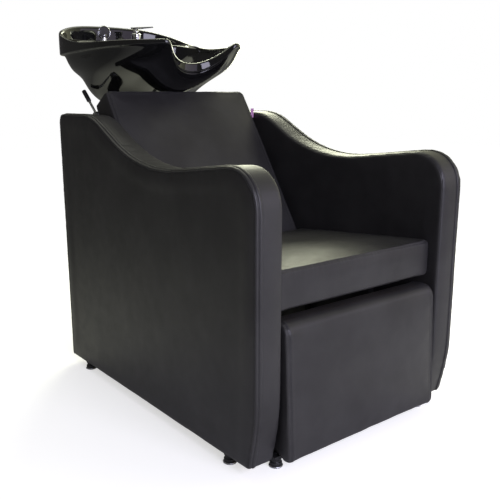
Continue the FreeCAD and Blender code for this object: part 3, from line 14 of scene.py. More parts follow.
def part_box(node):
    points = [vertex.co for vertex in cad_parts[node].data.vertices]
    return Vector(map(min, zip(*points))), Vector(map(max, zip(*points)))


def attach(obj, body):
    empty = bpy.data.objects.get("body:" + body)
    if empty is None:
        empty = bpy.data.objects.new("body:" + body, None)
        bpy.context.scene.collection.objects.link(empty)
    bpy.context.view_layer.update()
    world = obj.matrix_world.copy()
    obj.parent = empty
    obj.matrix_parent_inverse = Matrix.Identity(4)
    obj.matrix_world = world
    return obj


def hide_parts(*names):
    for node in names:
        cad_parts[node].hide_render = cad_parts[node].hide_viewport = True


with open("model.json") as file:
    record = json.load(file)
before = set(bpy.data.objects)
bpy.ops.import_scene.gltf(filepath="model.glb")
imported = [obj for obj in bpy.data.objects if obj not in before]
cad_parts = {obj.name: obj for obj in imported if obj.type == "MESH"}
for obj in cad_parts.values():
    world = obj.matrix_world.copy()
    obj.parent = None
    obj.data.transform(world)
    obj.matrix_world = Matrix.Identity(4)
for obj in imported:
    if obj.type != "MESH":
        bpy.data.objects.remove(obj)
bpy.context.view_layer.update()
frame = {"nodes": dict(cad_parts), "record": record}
nodes = frame["nodes"]
scene = bpy.context.scene
# Depths are counted from the front of the arms, which is here.
FRONT_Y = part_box("arm_pad_left")[0][1]
# The covers hang this far below the arms' and the legrest's frames.
HEM = 0.008


# Camera and light

# What the studio sends from the left, from between and from the right.
SOFT_BOX = (0.16, 0.155, 0.13), (0.09, 0.088, 0.09), (1.0, 1.0, 0.68)


def set_camera():
    """The photograph's place, direction and lens."""
    lens = bpy.data.cameras.new("camera")
    lens.sensor_width = 36
    lens.lens = 49.21
    camera = bpy.data.objects.new("camera", lens)
    camera.location = (-1.2079, FRONT_Y - 1.053, 0.8448)
    camera.rotation_euler = (math.radians(90 - 12.8), 0, math.radians(-38.7))
    scene.collection.objects.link(camera)
    scene.camera = camera
    scene.view_settings.view_transform = "Standard"


def area_light(name, place, target, wide, power, colour):
    """A soft square lamp that points at a place."""
    lamp = bpy.data.lights.new(name, "AREA")
    lamp.size = wide
    lamp.energy = power
    lamp.color = colour
    holder = bpy.data.objects.new(name, lamp)
    holder.location = place
    aim = Vector(target) - Vector(place)
    holder.rotation_euler = aim.to_track_quat("-Z", "Y").to_euler()
    scene.collection.objects.link(holder)


def node_math(tree, kind, *values):
    """A Math node over values that are each a number or a socket."""
    node = tree.nodes.new("ShaderNodeMath")
    node.operation = kind
    for socket, value in zip(node.inputs, values):
        if isinstance(value, (int, float)):
            socket.default_value = value
        else:
            tree.links.new(value, socket)
    return node.outputs["Value"]


def emptied(block):
    """The emptied node tree of a world or material, with short ways to add and to link."""
    block.use_nodes = True
    tree = block.node_tree
    tree.nodes.clear()
    return tree, lambda kind: tree.nodes.new("ShaderNode" + kind), tree.links.new


def set_world():
    """White to the camera. Otherwise a soft studio: a large warm source on the right, a weaker
    one on the left and little between them."""
    world = bpy.data.worlds.new("studio")
    scene.world = world
    tree, add, link = emptied(world)
    path = add("LightPath")
    place = add("TexCoord")
    parts = add("SeparateXYZ")
    link(place.outputs["Generated"], parts.inputs["Vector"])
    side = parts.outputs["X"]
    square = node_math(tree, "MULTIPLY", side, node_math(tree, "ABSOLUTE", side))
    ramp = add("ValToRGB")
    link(node_math(tree, "MULTIPLY_ADD", square, 0.5, 0.5), ramp.inputs["Fac"])
    stops = ramp.color_ramp.elements
    stops.new(0.5)
    for stop, at, colour in zip(stops, (0, 0.5, 1), SOFT_BOX):
        stop.position = at
        stop.color = (*colour, 1)
    soft = add("Background")
    link(ramp.outputs["Color"], soft.inputs["Color"])
    white = add("Background")
    white.inputs["Color"].default_value = (1, 1, 1, 1)
    seen = add("MixShader")
    direct = node_math(tree, "MAXIMUM", path.outputs["Is Camera Ray"],
                       path.outputs["Is Transmission Ray"])
    link(direct, seen.inputs["Fac"])
    link(soft.outputs["Background"], seen.inputs[1])
    link(white.outputs["Background"], seen.inputs[2])
    out = add("OutputWorld")
    link(seen.outputs["Shader"], out.inputs["Surface"])


def set_floor():
    """A plain floor: pale under the object, where it keeps the shadow, greyer further off to
    the left and behind, and white to the camera all over."""
    mesh = bpy.data.meshes.new("floor")
    r = 9.0
    mesh.from_pydata([(-r, -r, 0), (r, -r, 0), (r, r, 0), (-r, r, 0)], [], [(0, 1, 2, 3)])
    floor = bpy.data.objects.new("floor", mesh)
    scene.collection.objects.link(floor)
    material = bpy.data.materials.new("floor")
    tree, add, link = emptied(material)
    matt = add("BsdfDiffuse")
    lift = add("Emission")
    path = add("LightPath")
    place = add("NewGeometry")
    away = add("VectorMath")
    away.operation = "DISTANCE"
    link(place.outputs["Position"], away.inputs[0])
    away.inputs[1].default_value = (0.6, -0.6, 0)
    ranges = []
    for near, far in ((0.86, 0.15), (0.6, 1.0)):
        spread = add("MapRange")
        for name, value in (("From Min", 1.5), ("From Max", 3.0), ("To Min", near),
                            ("To Max", far)):
            spread.inputs[name].default_value = value
        link(away.outputs["Value"], spread.inputs["Value"])
        ranges.append(spread.outputs["Result"])
    link(ranges[0], matt.inputs["Color"])
    seen = node_math(tree, "MULTIPLY_ADD", path.outputs["Is Glossy Ray"], 0.1,
                     path.outputs["Is Camera Ray"])
    link(node_math(tree, "MULTIPLY", seen, ranges[1]), lift.inputs["Strength"])
    both = add("AddShader")
    link(matt.outputs["BSDF"], both.inputs[0])
    link(lift.outputs["Emission"], both.inputs[1])
    out = add("OutputMaterial")
    link(both.outputs["Shader"], out.inputs["Surface"])
    mesh.materials.append(material)


# Materials

class Shade:
    """A material's node tree with its Principled shader, and short ways to add nodes."""

    def __init__(self, name, colour, rough, metal=0.0, **fixed):
        self.material = bpy.data.materials.new(name)
        self.material.use_nodes = True
        self.tree = self.material.node_tree
        self.shader = self.tree.nodes["Principled BSDF"]
        self.set(self.shader, Roughness=rough, Metallic=metal)
        self.shader.inputs["Base Color"].default_value = (*colour, 1)
        self.set(self.shader, **fixed)
        self.coord = self.tree.nodes.new("ShaderNodeTexCoord").outputs["Object"]
        self.height = None

    def set(self, node, **values):
        for key, value in values.items():
            node.inputs[key.replace("_", " ")].default_value = value
        return node

    def link(self, a, b):
        self.tree.links.new(a, b)

    def node(self, kind, **values):
        return self.set(self.tree.nodes.new("ShaderNode" + kind), **values)

    def stretch(self, scale):
        """Object coordinates, scaled along each axis."""
        mapping = self.node("Mapping")
        mapping.inputs["Scale"].default_value = scale
        self.link(self.coord, mapping.inputs["Vector"])
        return mapping.outputs["Vector"]

    def noise(self, scale, detail=3.0, rough=0.55, stretch=None):
        cloud = self.node("TexNoise", Scale=scale, Detail=detail, Roughness=rough)
        self.link(self.stretch(stretch) if stretch else self.coord, cloud.inputs["Vector"])
        return cloud.outputs["Fac"]

    def cells(self, scale, feature="F1"):
        cell = self.node("TexVoronoi", Scale=scale)
        cell.feature = feature
        self.link(self.coord, cell.inputs["Vector"])
        return cell.outputs["Distance"]

    def span(self, value, low, high, start=0.0, end=1.0):
        """A value moved from one range to another, held at its ends."""
        node = self.node("MapRange", From_Min=start, From_Max=end, To_Min=low, To_Max=high)
        self.link(value, node.inputs["Value"])
        return node.outputs["Result"]

    def tint(self, fac, low, high):
        """Base colour that runs between two colours."""
        mix = self.tree.nodes.new("ShaderNodeMix")
        mix.data_type = "RGBA"
        mix.inputs[6].default_value = (*low, 1)
        mix.inputs[7].default_value = (*high, 1)
        self.link(fac, mix.inputs[0])
        self.link(mix.outputs[2], self.shader.inputs["Base Color"])

    def rough(self, fac, low, high):
        self.link(self.span(fac, low, high), self.shader.inputs["Roughness"])

    def bump(self, height, strength, distance):
        """Adds a layer of relief over the ones before it."""
        node = self.node("Bump", Strength=strength, Distance=distance)
        self.link(height, node.inputs["Height"])
        if self.height:
            self.link(self.height, node.inputs["Normal"])
        self.height = node.outputs["Normal"]
        self.link(self.height, self.shader.inputs["Normal"])


def leather(name):
    """Satin black vinyl: fine pebble grain, faint mottling, and a sewn line where the
    seam attribute says so."""
    s = Shade(name, (0.026, 0.0252, 0.0264), 0.42, Specular_IOR_Level=0.4)
    grain = s.cells(620.0)
    broad = s.noise(9.0, 4.0)
    fine = s.noise(260.0, 3.0)
    s.tint(s.span(broad, 0, 1, 0.35, 0.65), (0.021, 0.0202, 0.0215), (0.031, 0.0302, 0.0312))
    s.rough(s.noise(34.0, 4.0), 0.34, 0.52)
    s.bump(broad, 0.07, 0.004)
    s.bump(fine, 0.10, 0.0012)
    s.bump(grain, 0.22, 0.0005)
    field = s.tree.nodes.new("ShaderNodeAttribute")
    field.attribute_name = "seam"
    away = node_math(s.tree, "ABSOLUTE", field.outputs["Fac"])
    s.bump(s.span(away, 0, 1, 0.0, 0.0012), 0.35, 0.0008)
    return s.material


def ceramic(name):
    """Glossy black glaze with faint pooling."""
    s = Shade(name, (0.006, 0.006, 0.0065), 0.06, Specular_IOR_Level=0.5)
    s.tint(s.noise(14.0), (0.0045, 0.0045, 0.005), (0.009, 0.009, 0.0095))
    s.rough(s.noise(40.0), 0.045, 0.085)
    s.bump(s.noise(22.0, 2.0), 0.05, 0.002)
    return s.material


def chrome(name):
    s = Shade(name, (0.74, 0.75, 0.77), 0.07, 1.0)
    s.tint(s.noise(60.0), (0.68, 0.69, 0.71), (0.78, 0.79, 0.81))
    s.rough(s.noise(180.0, 5.0), 0.04, 0.12)
    s.bump(s.noise(90.0, 2.0), 0.03, 0.0006)
    return s.material


def painted(name, colour, worn, rough=0.5):
    """Powder coat: orange-peel bump and dusty patches."""
    s = Shade(name, colour, rough)
    s.tint(s.span(s.noise(26.0, 5.0), 0, 1, 0.4, 0.7), colour, worn)
    s.rough(s.noise(70.0, 4.0), rough - 0.1, rough + 0.12)
    s.bump(s.noise(900.0, 2.0), 0.2, 0.0004)
    return s.material


def moulded(name, colour, worn, rough):
    """Moulded plastic with a fine spark-eroded texture."""
    s = Shade(name, colour, rough, Specular_IOR_Level=0.45)
    s.tint(s.noise(45.0, 4.0), colour, worn)
    s.rough(s.noise(120.0), rough - 0.08, rough + 0.08)
    s.bump(s.cells(1400.0), 0.12, 0.0003)
    return s.material


def metal(name, colour, worn, rough, stretch):
    """Bare or plated metal, brushed along the axis that stretch leaves long."""
    s = Shade(name, colour, rough, 1.0)
    s.tint(s.noise(30.0, 5.0), colour, worn)
    s.rough(s.noise(160.0, 4.0, stretch=stretch), rough - 0.12, rough + 0.14)
    s.bump(s.noise(400.0, 3.0, stretch=stretch), 0.08, 0.0003)
    return s.material


def plywood(name):
    """Birch plywood: long figured grain over thin pores."""
    s = Shade(name, (0.52, 0.36, 0.2), 0.62)
    rings = s.noise(7.0, 6.0, 0.6, stretch=(1.0, 9.0, 9.0))
    pores = s.noise(160.0, 3.0, stretch=(0.6, 8.0, 8.0))
    s.tint(s.span(rings, 0, 1, 0.3, 0.7), (0.42, 0.27, 0.14), (0.6, 0.44, 0.27))
    s.rough(pores, 0.5, 0.72)
    s.bump(pores, 0.25, 0.0004)
    return s.material


def woven(name, colour, shade):
    """A small woven ribbon."""
    s = Shade(name, colour, 0.8)
    s.tint(s.noise(900.0), shade, colour)
    s.rough(s.noise(200.0), 0.7, 0.9)
    s.bump(s.noise(2600.0, 1.0), 0.4, 0.0003)
    return s.material


def thread(name):
    """Twisted black sewing thread, a little lighter than the vinyl."""
    s = Shade(name, (0.03, 0.03, 0.032), 0.6)
    s.tint(s.noise(1800.0), (0.018, 0.018, 0.02), (0.045, 0.045, 0.048))
    s.bump(s.noise(2400.0, 1.0), 0.4, 0.0002)
    return s.material


def all_materials():
    """The record's material slots, and the thread."""
    fine, wide = (1.0, 8.0, 8.0), (6.0, 6.0, 1.0)
    rows = {
        "black_leatherette": (leather,),
        "black_ceramic": (ceramic,),
        "chrome": (chrome,),
        "label_fabric": (woven, (0.56, 0.29, 0.53), (0.42, 0.2, 0.4)),
        "plywood": (plywood,),
        "black_board": (painted, (0.014, 0.014, 0.015), (0.024, 0.023, 0.022), 0.6),
        "black_frame": (painted, (0.012, 0.012, 0.013), (0.022, 0.022, 0.022)),
        "zinc_steel": (metal, (0.62, 0.63, 0.64), (0.5, 0.51, 0.53), 0.34, fine),
        "black_plastic": (moulded, (0.012, 0.012, 0.013), (0.02, 0.02, 0.021), 0.42),
        "grey_plastic": (moulded, (0.2, 0.2, 0.21), (0.26, 0.26, 0.27), 0.4),
        "nylon": (moulded, (0.62, 0.61, 0.56), (0.7, 0.69, 0.65), 0.45),
        "white_pipe": (moulded, (0.7, 0.7, 0.69), (0.78, 0.78, 0.77), 0.35),
        "brass": (metal, (0.72, 0.52, 0.24), (0.55, 0.38, 0.17), 0.3, wide),
        "spray_plastic": (moulded, (0.012, 0.012, 0.014), (0.03, 0.03, 0.032), 0.3),
        "thread": (thread,),
    }
    return {name: kind(name, *looks) for name, (kind, *looks) in rows.items()}


# Building blocks

def new_object(name, points, faces, slot):
    """A smooth mesh object in the scene, in a slot's material."""
    mesh = bpy.data.meshes.new(name)
    mesh.from_pydata([tuple(p) for p in points], [], [tuple(f) for f in faces])
    mesh.validate()
    mesh.update()
    mesh.materials.append(materials[slot])
    mesh.shade_smooth()
    piece = bpy.data.objects.new(name, mesh)
    scene.collection.objects.link(piece)
    return piece


def finish_piece(piece, slot, body, *stands_for):
    """Hide the CAD nodes that a piece stands for and hang the piece on the body that it rides on.
    The slot argument is not used.
    """
    if stands_for:
        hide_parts(*stands_for)
    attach(piece, body)


def baked(piece):
    """Apply every modifier of a piece to its mesh."""
    shape = bpy.data.meshes.new_from_object(
        piece.evaluated_get(bpy.context.evaluated_depsgraph_get()))
    old = piece.data
    piece.modifiers.clear()
    piece.data = shape
    bpy.data.meshes.remove(old)


def subdivided(piece):
    """Divide a piece's faces once, smoothly."""
    smooth = piece.modifiers.new("subdivide", "SUBSURF")
    smooth.levels = smooth.render_levels = 1
    baked(piece)
    piece.data.shade_smooth()


def coords(piece, kind="co"):
    """A mesh's points, or their normals, as rows."""
    flat = np.zeros(len(piece.data.vertices) * 3)
    piece.data.vertices.foreach_get(kind, flat)
    return flat.reshape(-1, 3)


def set_coords(piece, points):
    piece.data.vertices.foreach_set("co", np.asarray(points, float).ravel())
    piece.data.update()


def normals(piece):
    return coords(piece, "normal")


def skin_tree(piece):
    """A tree that finds the nearest place on a piece's skin."""
    return BVHTree.FromPolygons([v.co for v in piece.data.vertices],
                                [tuple(p.vertices) for p in piece.data.polygons])


def natural_spline(rows, at):
    """Natural cubic spline through rows of points, read at places given in row numbers."""
    rows = np.asarray(rows, float)
    count = len(rows)
    matrix = np.eye(count)
    right = np.zeros_like(rows)
    for i in range(1, count - 1):
        matrix[i, i - 1:i + 2] = (1, 4, 1)
        right[i] = 6 * (rows[i - 1] - 2 * rows[i] + rows[i + 1])
    second = np.linalg.solve(matrix, right.reshape(count, -1)).reshape(rows.shape)
    out = []
    for t in at:
        i = min(int(t), count - 2)
        b = t - i
        a = 1 - b
        out.append(a * rows[i] + b * rows[i + 1]
                   + ((a ** 3 - a) * second[i] + (b ** 3 - b) * second[i + 1]) / 6)
    return np.array(out)


def tube_faces(rows, count, base=0):
    """Quads between rows of points that each close to a ring, and a cap at both ends."""
    faces = []
    for r in range(rows - 1):
        for k in range(count):
            a, b = base + r * count + k, base + r * count + (k + 1) % count
            faces.append((a, b, b + count, a + count))
    faces.append(tuple(base + k for k in reversed(range(count))))
    faces.append(tuple(base + (rows - 1) * count + k for k in range(count)))
    return faces


def ring_loft(name, rings, slot):
    """A closed skin over a row of rings, capped at both ends."""
    points = [p for ring in rings for p in ring]
    return new_object(name, points, tube_faces(len(rings), len(rings[0])), slot)


def lathe(name, profile, place, axis, slot, steps=48, bend=0.0012):
    """A turned piece: (radius, height) points about an axis through a place, with the
    profile's corners rounded off by bend."""
    if bend:
        profile = rounded(profile, bend)
    turn = Vector((0, 0, 1)).rotation_difference(Vector(axis)).to_matrix()
    rings = []
    for radius, high in profile:
        ring = []
        for k in range(steps):
            angle = math.tau * k / steps
            spot = Vector((radius * math.cos(angle), radius * math.sin(angle), high))
            ring.append(Vector(place) + turn @ spot)
        rings.append(ring)
    piece = ring_loft(name, rings, slot)
    piece.data.set_sharp_from_angle(angle=math.radians(38))
    return piece


def rounded(profile, bend, steps=4):
    """A turned profile whose inner corners are rounded off."""
    out = [profile[0]]
    for i in range(1, len(profile) - 1):
        here = Vector(profile[i])
        back = Vector(profile[i - 1]) - here
        on = Vector(profile[i + 1]) - here
        reach = min(bend, back.length * 0.45, on.length * 0.45)
        a = here + back.normalized() * reach
        b = here + on.normalized() * reach
        for k in range(steps + 1):
            t = k / steps
            out.append(tuple((1 - t) ** 2 * a + 2 * t * (1 - t) * here + t * t * b))
    out.append(profile[-1])
    return out


def join(name, parts):
    """One object of several."""
    for part in parts:
        part.select_set(True)
    with bpy.context.temp_override(active_object=parts[0], selected_objects=parts,
                                   selected_editable_objects=parts):
        bpy.ops.object.join()
    parts[0].name = name
    parts[0].data.name = name
    return parts[0]


# Upholstery

SEAM_PITCH = 0.0025
CLOTH_FRAMES = 20


def voxel_copy(name, sources, voxel):
    """The leatherette skin of some CAD solids together, remeshed to even quads."""
    points, faces = [], []
    for source in sources:
        mesh = nodes[source].data
        base = len(points)
        points += [tuple(v.co) for v in mesh.vertices]
        faces += [tuple(base + i for i in p.vertices) for p in mesh.polygons]
    piece = new_object(name, points, faces, "black_leatherette")
    weld = piece.modifiers.new("weld", "WELD")
    weld.merge_threshold = 0.00001
    remesh = piece.modifiers.new("remesh", "REMESH")
    remesh.mode = "VOXEL"
    remesh.voxel_size = voxel
    baked(piece)
    return outer_skin(piece)


def outer_skin(piece):
    """Keep the largest of a mesh's islands."""
    mesh = piece.data
    parent = list(range(len(mesh.vertices)))

    def root(i):
        while parent[i] != i:
            parent[i] = parent[parent[i]]
            i = parent[i]
        return i

    for edge in mesh.edges:
        a, b = root(edge.vertices[0]), root(edge.vertices[1])
        if a != b:
            parent[a] = b
    roots = np.array([root(i) for i in range(len(parent))])
    values, counts = np.unique(roots, return_counts=True)
    keep = roots == values[np.argmax(counts)]
    index = np.cumsum(keep) - 1
    points = coords(piece)[keep]
    faces = [tuple(int(index[i]) for i in p.vertices) for p in mesh.polygons
             if keep[p.vertices[0]]]
    name = piece.name
    bpy.data.objects.remove(piece)
    bpy.data.meshes.remove(mesh)
    return new_object(name, points, faces, "black_leatherette")


def blown(piece, cap, start, hold, *edge):
    """Draw a closed mesh in by start, blow it up as cloth, and cap how far each point may
    move. hold gives each point's share of stillness, 1 where it stays, beside what the sewn
    edges hold."""
    hold = np.maximum(hold, edges_held(piece, *edge))
    rest = coords(piece) - normals(piece) * start
    set_coords(piece, rest)
    group = piece.vertex_groups.new(name="hold")
    for i in np.nonzero(hold > 0.02)[0]:
        group.add([int(i)], float(hold[i]), "REPLACE")
    cloth = piece.modifiers.new("cloth", "CLOTH")
    settings = cloth.settings
    settings.quality = 5
    settings.mass = 0.3
    settings.tension_stiffness = settings.compression_stiffness = 15
    settings.shear_stiffness = 5
    settings.bending_stiffness = 0.5
    settings.use_pressure = True
    settings.uniform_pressure_force = 4.0
    settings.effector_weights.gravity = 0
    settings.vertex_group_mass = "hold"
    cloth.collision_settings.use_collision = False
    for at in range(1, CLOTH_FRAMES + 1):
        scene.frame_set(at)
    moved = np.zeros(len(rest) * 3)
    shape = piece.evaluated_get(bpy.context.evaluated_depsgraph_get())
    shape.data.vertices.foreach_get("co", moved)
    piece.modifiers.clear()
    piece.vertex_groups.clear()
    scene.frame_set(1)
    move = moved.reshape(-1, 3) - rest
    far = np.linalg.norm(move, axis=1)
    share = np.where(far > 1e-9, cap * np.tanh(far / cap) / np.maximum(far, 1e-9), 0)
    set_coords(piece, rest + move * share[:, None])


def edges_held(piece, lean=0.0, round_loop=False):
    """How still the sewn edges keep a piece's points: most where two faces meet."""
    x, y, z = np.abs(normals(piece) @ np.array([(1, 0, 0), (0, math.cos(lean), -math.sin(lean)),
                                                (0, math.sin(lean), math.cos(lean))]).T).T
    flat = np.maximum(x, np.hypot(y, z)) if round_loop else np.maximum(np.maximum(x, y), z)
    return np.clip((0.97 - flat) / 0.12, 0, 1) * 0.85


def even_path(points, pitch, closed):
    """Points a pitch apart along a polyline."""
    points = np.asarray(points, float)
    if closed:
        points = np.vstack([points, points[:1]])
    steps = np.linalg.norm(np.diff(points, axis=0), axis=1)
    run = np.concatenate([[0], np.cumsum(steps)])
    count = max(3, int(run[-1] / pitch))
    at = np.linspace(0, run[-1], count + (0 if closed else 1), endpoint=not closed)
    return np.stack([np.interp(at, run, points[:, k]) for k in range(3)], axis=1)


def eased(path):
    """An open path with its small corners smoothed."""
    for _ in range(6):
        back, on = np.roll(path, 1, axis=0), np.roll(path, -1, axis=0)
        smooth = (back + 2 * path + on) / 4
        smooth[0], smooth[-1] = path[0], path[-1]
        path = smooth
    return path


class Seam:
    """An open sewn line on a piece: where it runs, its direction and the skin's normal."""

    def __init__(self, piece, points):
        tree = skin_tree(piece)
        path = even_path(points, SEAM_PITCH, False)
        laid = np.array([tree.find_nearest(Vector(p))[0] for p in path])
        self.path = eased(laid)
        self.out = np.array([tree.find_nearest(Vector(p))[1] for p in self.path])
        ahead = np.roll(self.path, -1, axis=0) - np.roll(self.path, 1, axis=0)
        ahead[0] = self.path[1] - self.path[0]
        ahead[-1] = self.path[-1] - self.path[-2]
        self.ahead = ahead / np.linalg.norm(ahead, axis=1)[:, None]
        side = np.cross(self.ahead, self.out)
        self.side = side / np.maximum(np.linalg.norm(side, axis=1), 1e-9)[:, None]
        self.run = np.arange(len(path)) * SEAM_PITCH


def sewn(piece, seams, pull, ridge, gather=0.0006):
    """Draw the skin in along its seams, raise it beside them, and keep each point's
    distance from the nearest seam for the material."""
    points, outs = coords(piece), normals(piece)
    reach, ridge_at = 0.045, 0.006
    tree = kdtree.KDTree(sum(len(s.path) for s in seams))
    owner = []
    for s, seam in enumerate(seams):
        for k, spot in enumerate(seam.path):
            tree.insert(spot, len(owner))
            owner.append((s, k))
    tree.balance()
    field = np.full(len(points), reach)
    lift = np.zeros(len(points))
    for i, point in enumerate(points):
        spot, index, far = tree.find(point)
        if far > reach:
            continue
        s, k = owner[index]
        seam = seams[s]
        off = point - seam.path[k]
        across = float(np.dot(off, seam.side[k]))
        away = abs(across) if abs(across) < far else far
        away = max(away, math.sqrt(max(far * far - float(np.dot(off, seam.ahead[k])) ** 2, 0)))
        field[i] = math.copysign(away, across)
        run = seam.run[k] * 1000
        wave = noise.noise((run / 9, s * 7.3, across * 40)) + 0.6 * noise.noise((run / 4, s, 3))
        lift[i] = (-pull * math.exp(-(away / 0.0026) ** 2)
                   + ridge * math.exp(-((away - ridge_at) / 0.004) ** 2)
                   + gather * wave * math.exp(-away / 0.012))
    set_coords(piece, points + outs * lift[:, None])
    store = piece.data.attributes.new("seam", "FLOAT", "POINT")
    store.data.foreach_set("value", field.astype(np.float32))


def felled(name, piece, seam, body):
    """The double welt of a felled seam: a strip that lies on the skin along a seam."""
    tree = skin_tree(piece)
    half, high = 0.0105, 0.003
    across = np.linspace(-half, half, 19)
    points, faces = [], []
    for k in range(0, len(seam.path), 2):
        spot, side = Vector(seam.path[k]), Vector(seam.side[k])
        wave = 1 + 0.2 * noise.noise((seam.run[k] * 60, 5, 1)) + 0.12 * noise.noise(
            (seam.run[k] * 160, 2, 7))
        for s in across:
            hit, out, _, _ = tree.find_nearest(spot + side * s)
            off = (abs(s) - half / 2) / (half / 2)
            points.append(hit + out * (high * wave * math.sqrt(max(1 - off * off, 0)) - 0.0002))
    count = len(across)
    for r in range(len(points) // count - 1):
        for c in range(count - 1):
            a = r * count + c
            faces.append((a, a + 1, a + 1 + count, a + count))
    strip = new_object(name, points, faces, "black_leatherette")
    finish_piece(strip, "black_leatherette", body)
    return strip


def grown(loop, by):
    """A flat loop of the Y-Z plane, moved out along its own normals."""
    ahead = np.roll(loop, -1, axis=0) - np.roll(loop, 1, axis=0)
    y, z = loop[:, 1], loop[:, 2]
    turn = math.copysign(1, float(np.sum(y * np.roll(z, -1) - np.roll(y, -1) * z)))
    out = np.stack([np.zeros(len(loop)), ahead[:, 2], -ahead[:, 1]], axis=1) * turn
    return loop + out / np.maximum(np.linalg.norm(out, axis=1), 1e-9)[:, None] * by


def creased(piece, high, scale, stretch, seed, keep=1.0):
    """Soft unevenness of a stuffed skin, moved along its normals."""
    points, outs = coords(piece), normals(piece)
    move = np.array([noise.fractal((p[0] * scale * stretch[0] + seed, p[1] * scale * stretch[1],
                                    p[2] * scale * stretch[2]), 0.6, 2.0, 3) for p in points])
    set_coords(piece, points + outs * (high * (move * keep))[:, None])


def stitches(name, piece, seams, body, rows=(-0.0045, 0.0045)):
    """Rows of thread that lie on the skin beside each seam, a stitch at every second point."""
    tree = skin_tree(piece)
    ring = [(math.cos(math.tau * k / 6), math.sin(math.tau * k / 6)) for k in range(6)]
    stations = ((-0.5, 0.35), (-0.28, 1), (0.28, 1), (0.5, 0.35))
    thick, long = 0.00055, 0.0034
    points, faces = [], []
    for seam in seams:
        for row in rows:
            for k in range(0, len(seam.path) - 1, 2):
                spot = Vector(seam.path[k]) + Vector(seam.side[k]) * row
                hit, out, _, _ = tree.find_nearest(spot)
                ahead = Vector(seam.ahead[k])
                ahead = (ahead - out * ahead.dot(out)).normalized()
                side = ahead.cross(out)
                base = len(points)
                for along, wide in stations:
                    centre = hit + ahead * (along * long) + out * (thick * 0.55 * wide)
                    for c, d in ring:
                        points.append(centre + (side * c + out * d) * (thick * wide))
                faces += tube_faces(len(stations), len(ring), base)
    made = new_object(name, points, faces, "thread")
    finish_piece(made, "black_leatherette", body)
    return made


def side_loop(node, plane):
    """The edge of a flat side face of a CAD solid, as an ordered loop of points."""
    mesh = nodes[node].data
    used = {}
    for face in mesh.polygons:
        if abs(face.normal.x) > 0.999 and abs(face.center.x - plane) < 0.0004:
            ids = [tuple(round(c, 6) for c in mesh.vertices[i].co) for i in face.vertices]
            for a, b in zip(ids, ids[1:] + ids[:1]):
                if (b, a) in used:
                    del used[(b, a)]
                else:
                    used[(a, b)] = True
    onward = {a: b for a, b in used}
    loops = []
    while onward:
        start, here = next(iter(onward.items()))
        del onward[start]
        loop = [start]
        while here in onward:
            loop.append(here)
            here = onward.pop(here)
        loops.append(loop)
    return max(map(np.array, loops), key=lambda loop: np.ptp(loop[:, 1]) + np.ptp(loop[:, 2]))


def flat_tree(points):
    """A tree of a path's points, flattened along X."""
    tree = kdtree.KDTree(len(points))
    for i, p in enumerate(points):
        tree.insert((0, p[1], p[2]), i)
    tree.balance()
    return tree


def over_floor(loop, low):
    """The part of a closed loop above a height, as an open path."""
    above = loop[:, 2] > low
    start = next(i for i in range(len(loop)) if above[i] and not above[i - 1])
    rolled = np.roll(loop, -start, axis=0)
    return rolled[:int(np.argmin(np.roll(above, -start)))] if not above.all() else rolled


def hemmed(piece, drop, rear=9.0, wide=0.014, tall=0.03):
    """Let the skin's lower rim hang below the frame, clear of what stands inside it."""
    points = coords(piece)
    base = points[:, 2].min()
    foot = points[points[:, 2] < base + 0.004]
    near = np.minimum(points[:, :2] - foot.min(axis=0)[:2], foot.max(axis=0)[:2] - points[:, :2])
    rim = np.clip((wide - near.min(axis=1)) / (wide * 0.5), 0, 1)
    share = rim * np.clip((base + tall - points[:, 2]) / tall, 0, 1)
    points[:, 2] -= drop * share * np.clip((rear - points[:, 1]) / 0.01, 0, 1)
    set_coords(piece, points)


def within(piece, low, high):
    """Keep a piece's points between two corners."""
    set_coords(piece, np.clip(coords(piece), low, high))


def turned_in_yz(points, angle, origin):
    """Points of the Y-Z plane, turned from +Z towards +Y about an origin."""
    c, s = math.cos(angle), math.sin(angle)
    return np.array([(x, origin[0] + y * c + z * s, origin[1] - y * s + z * c)
                     for x, y, z in points])


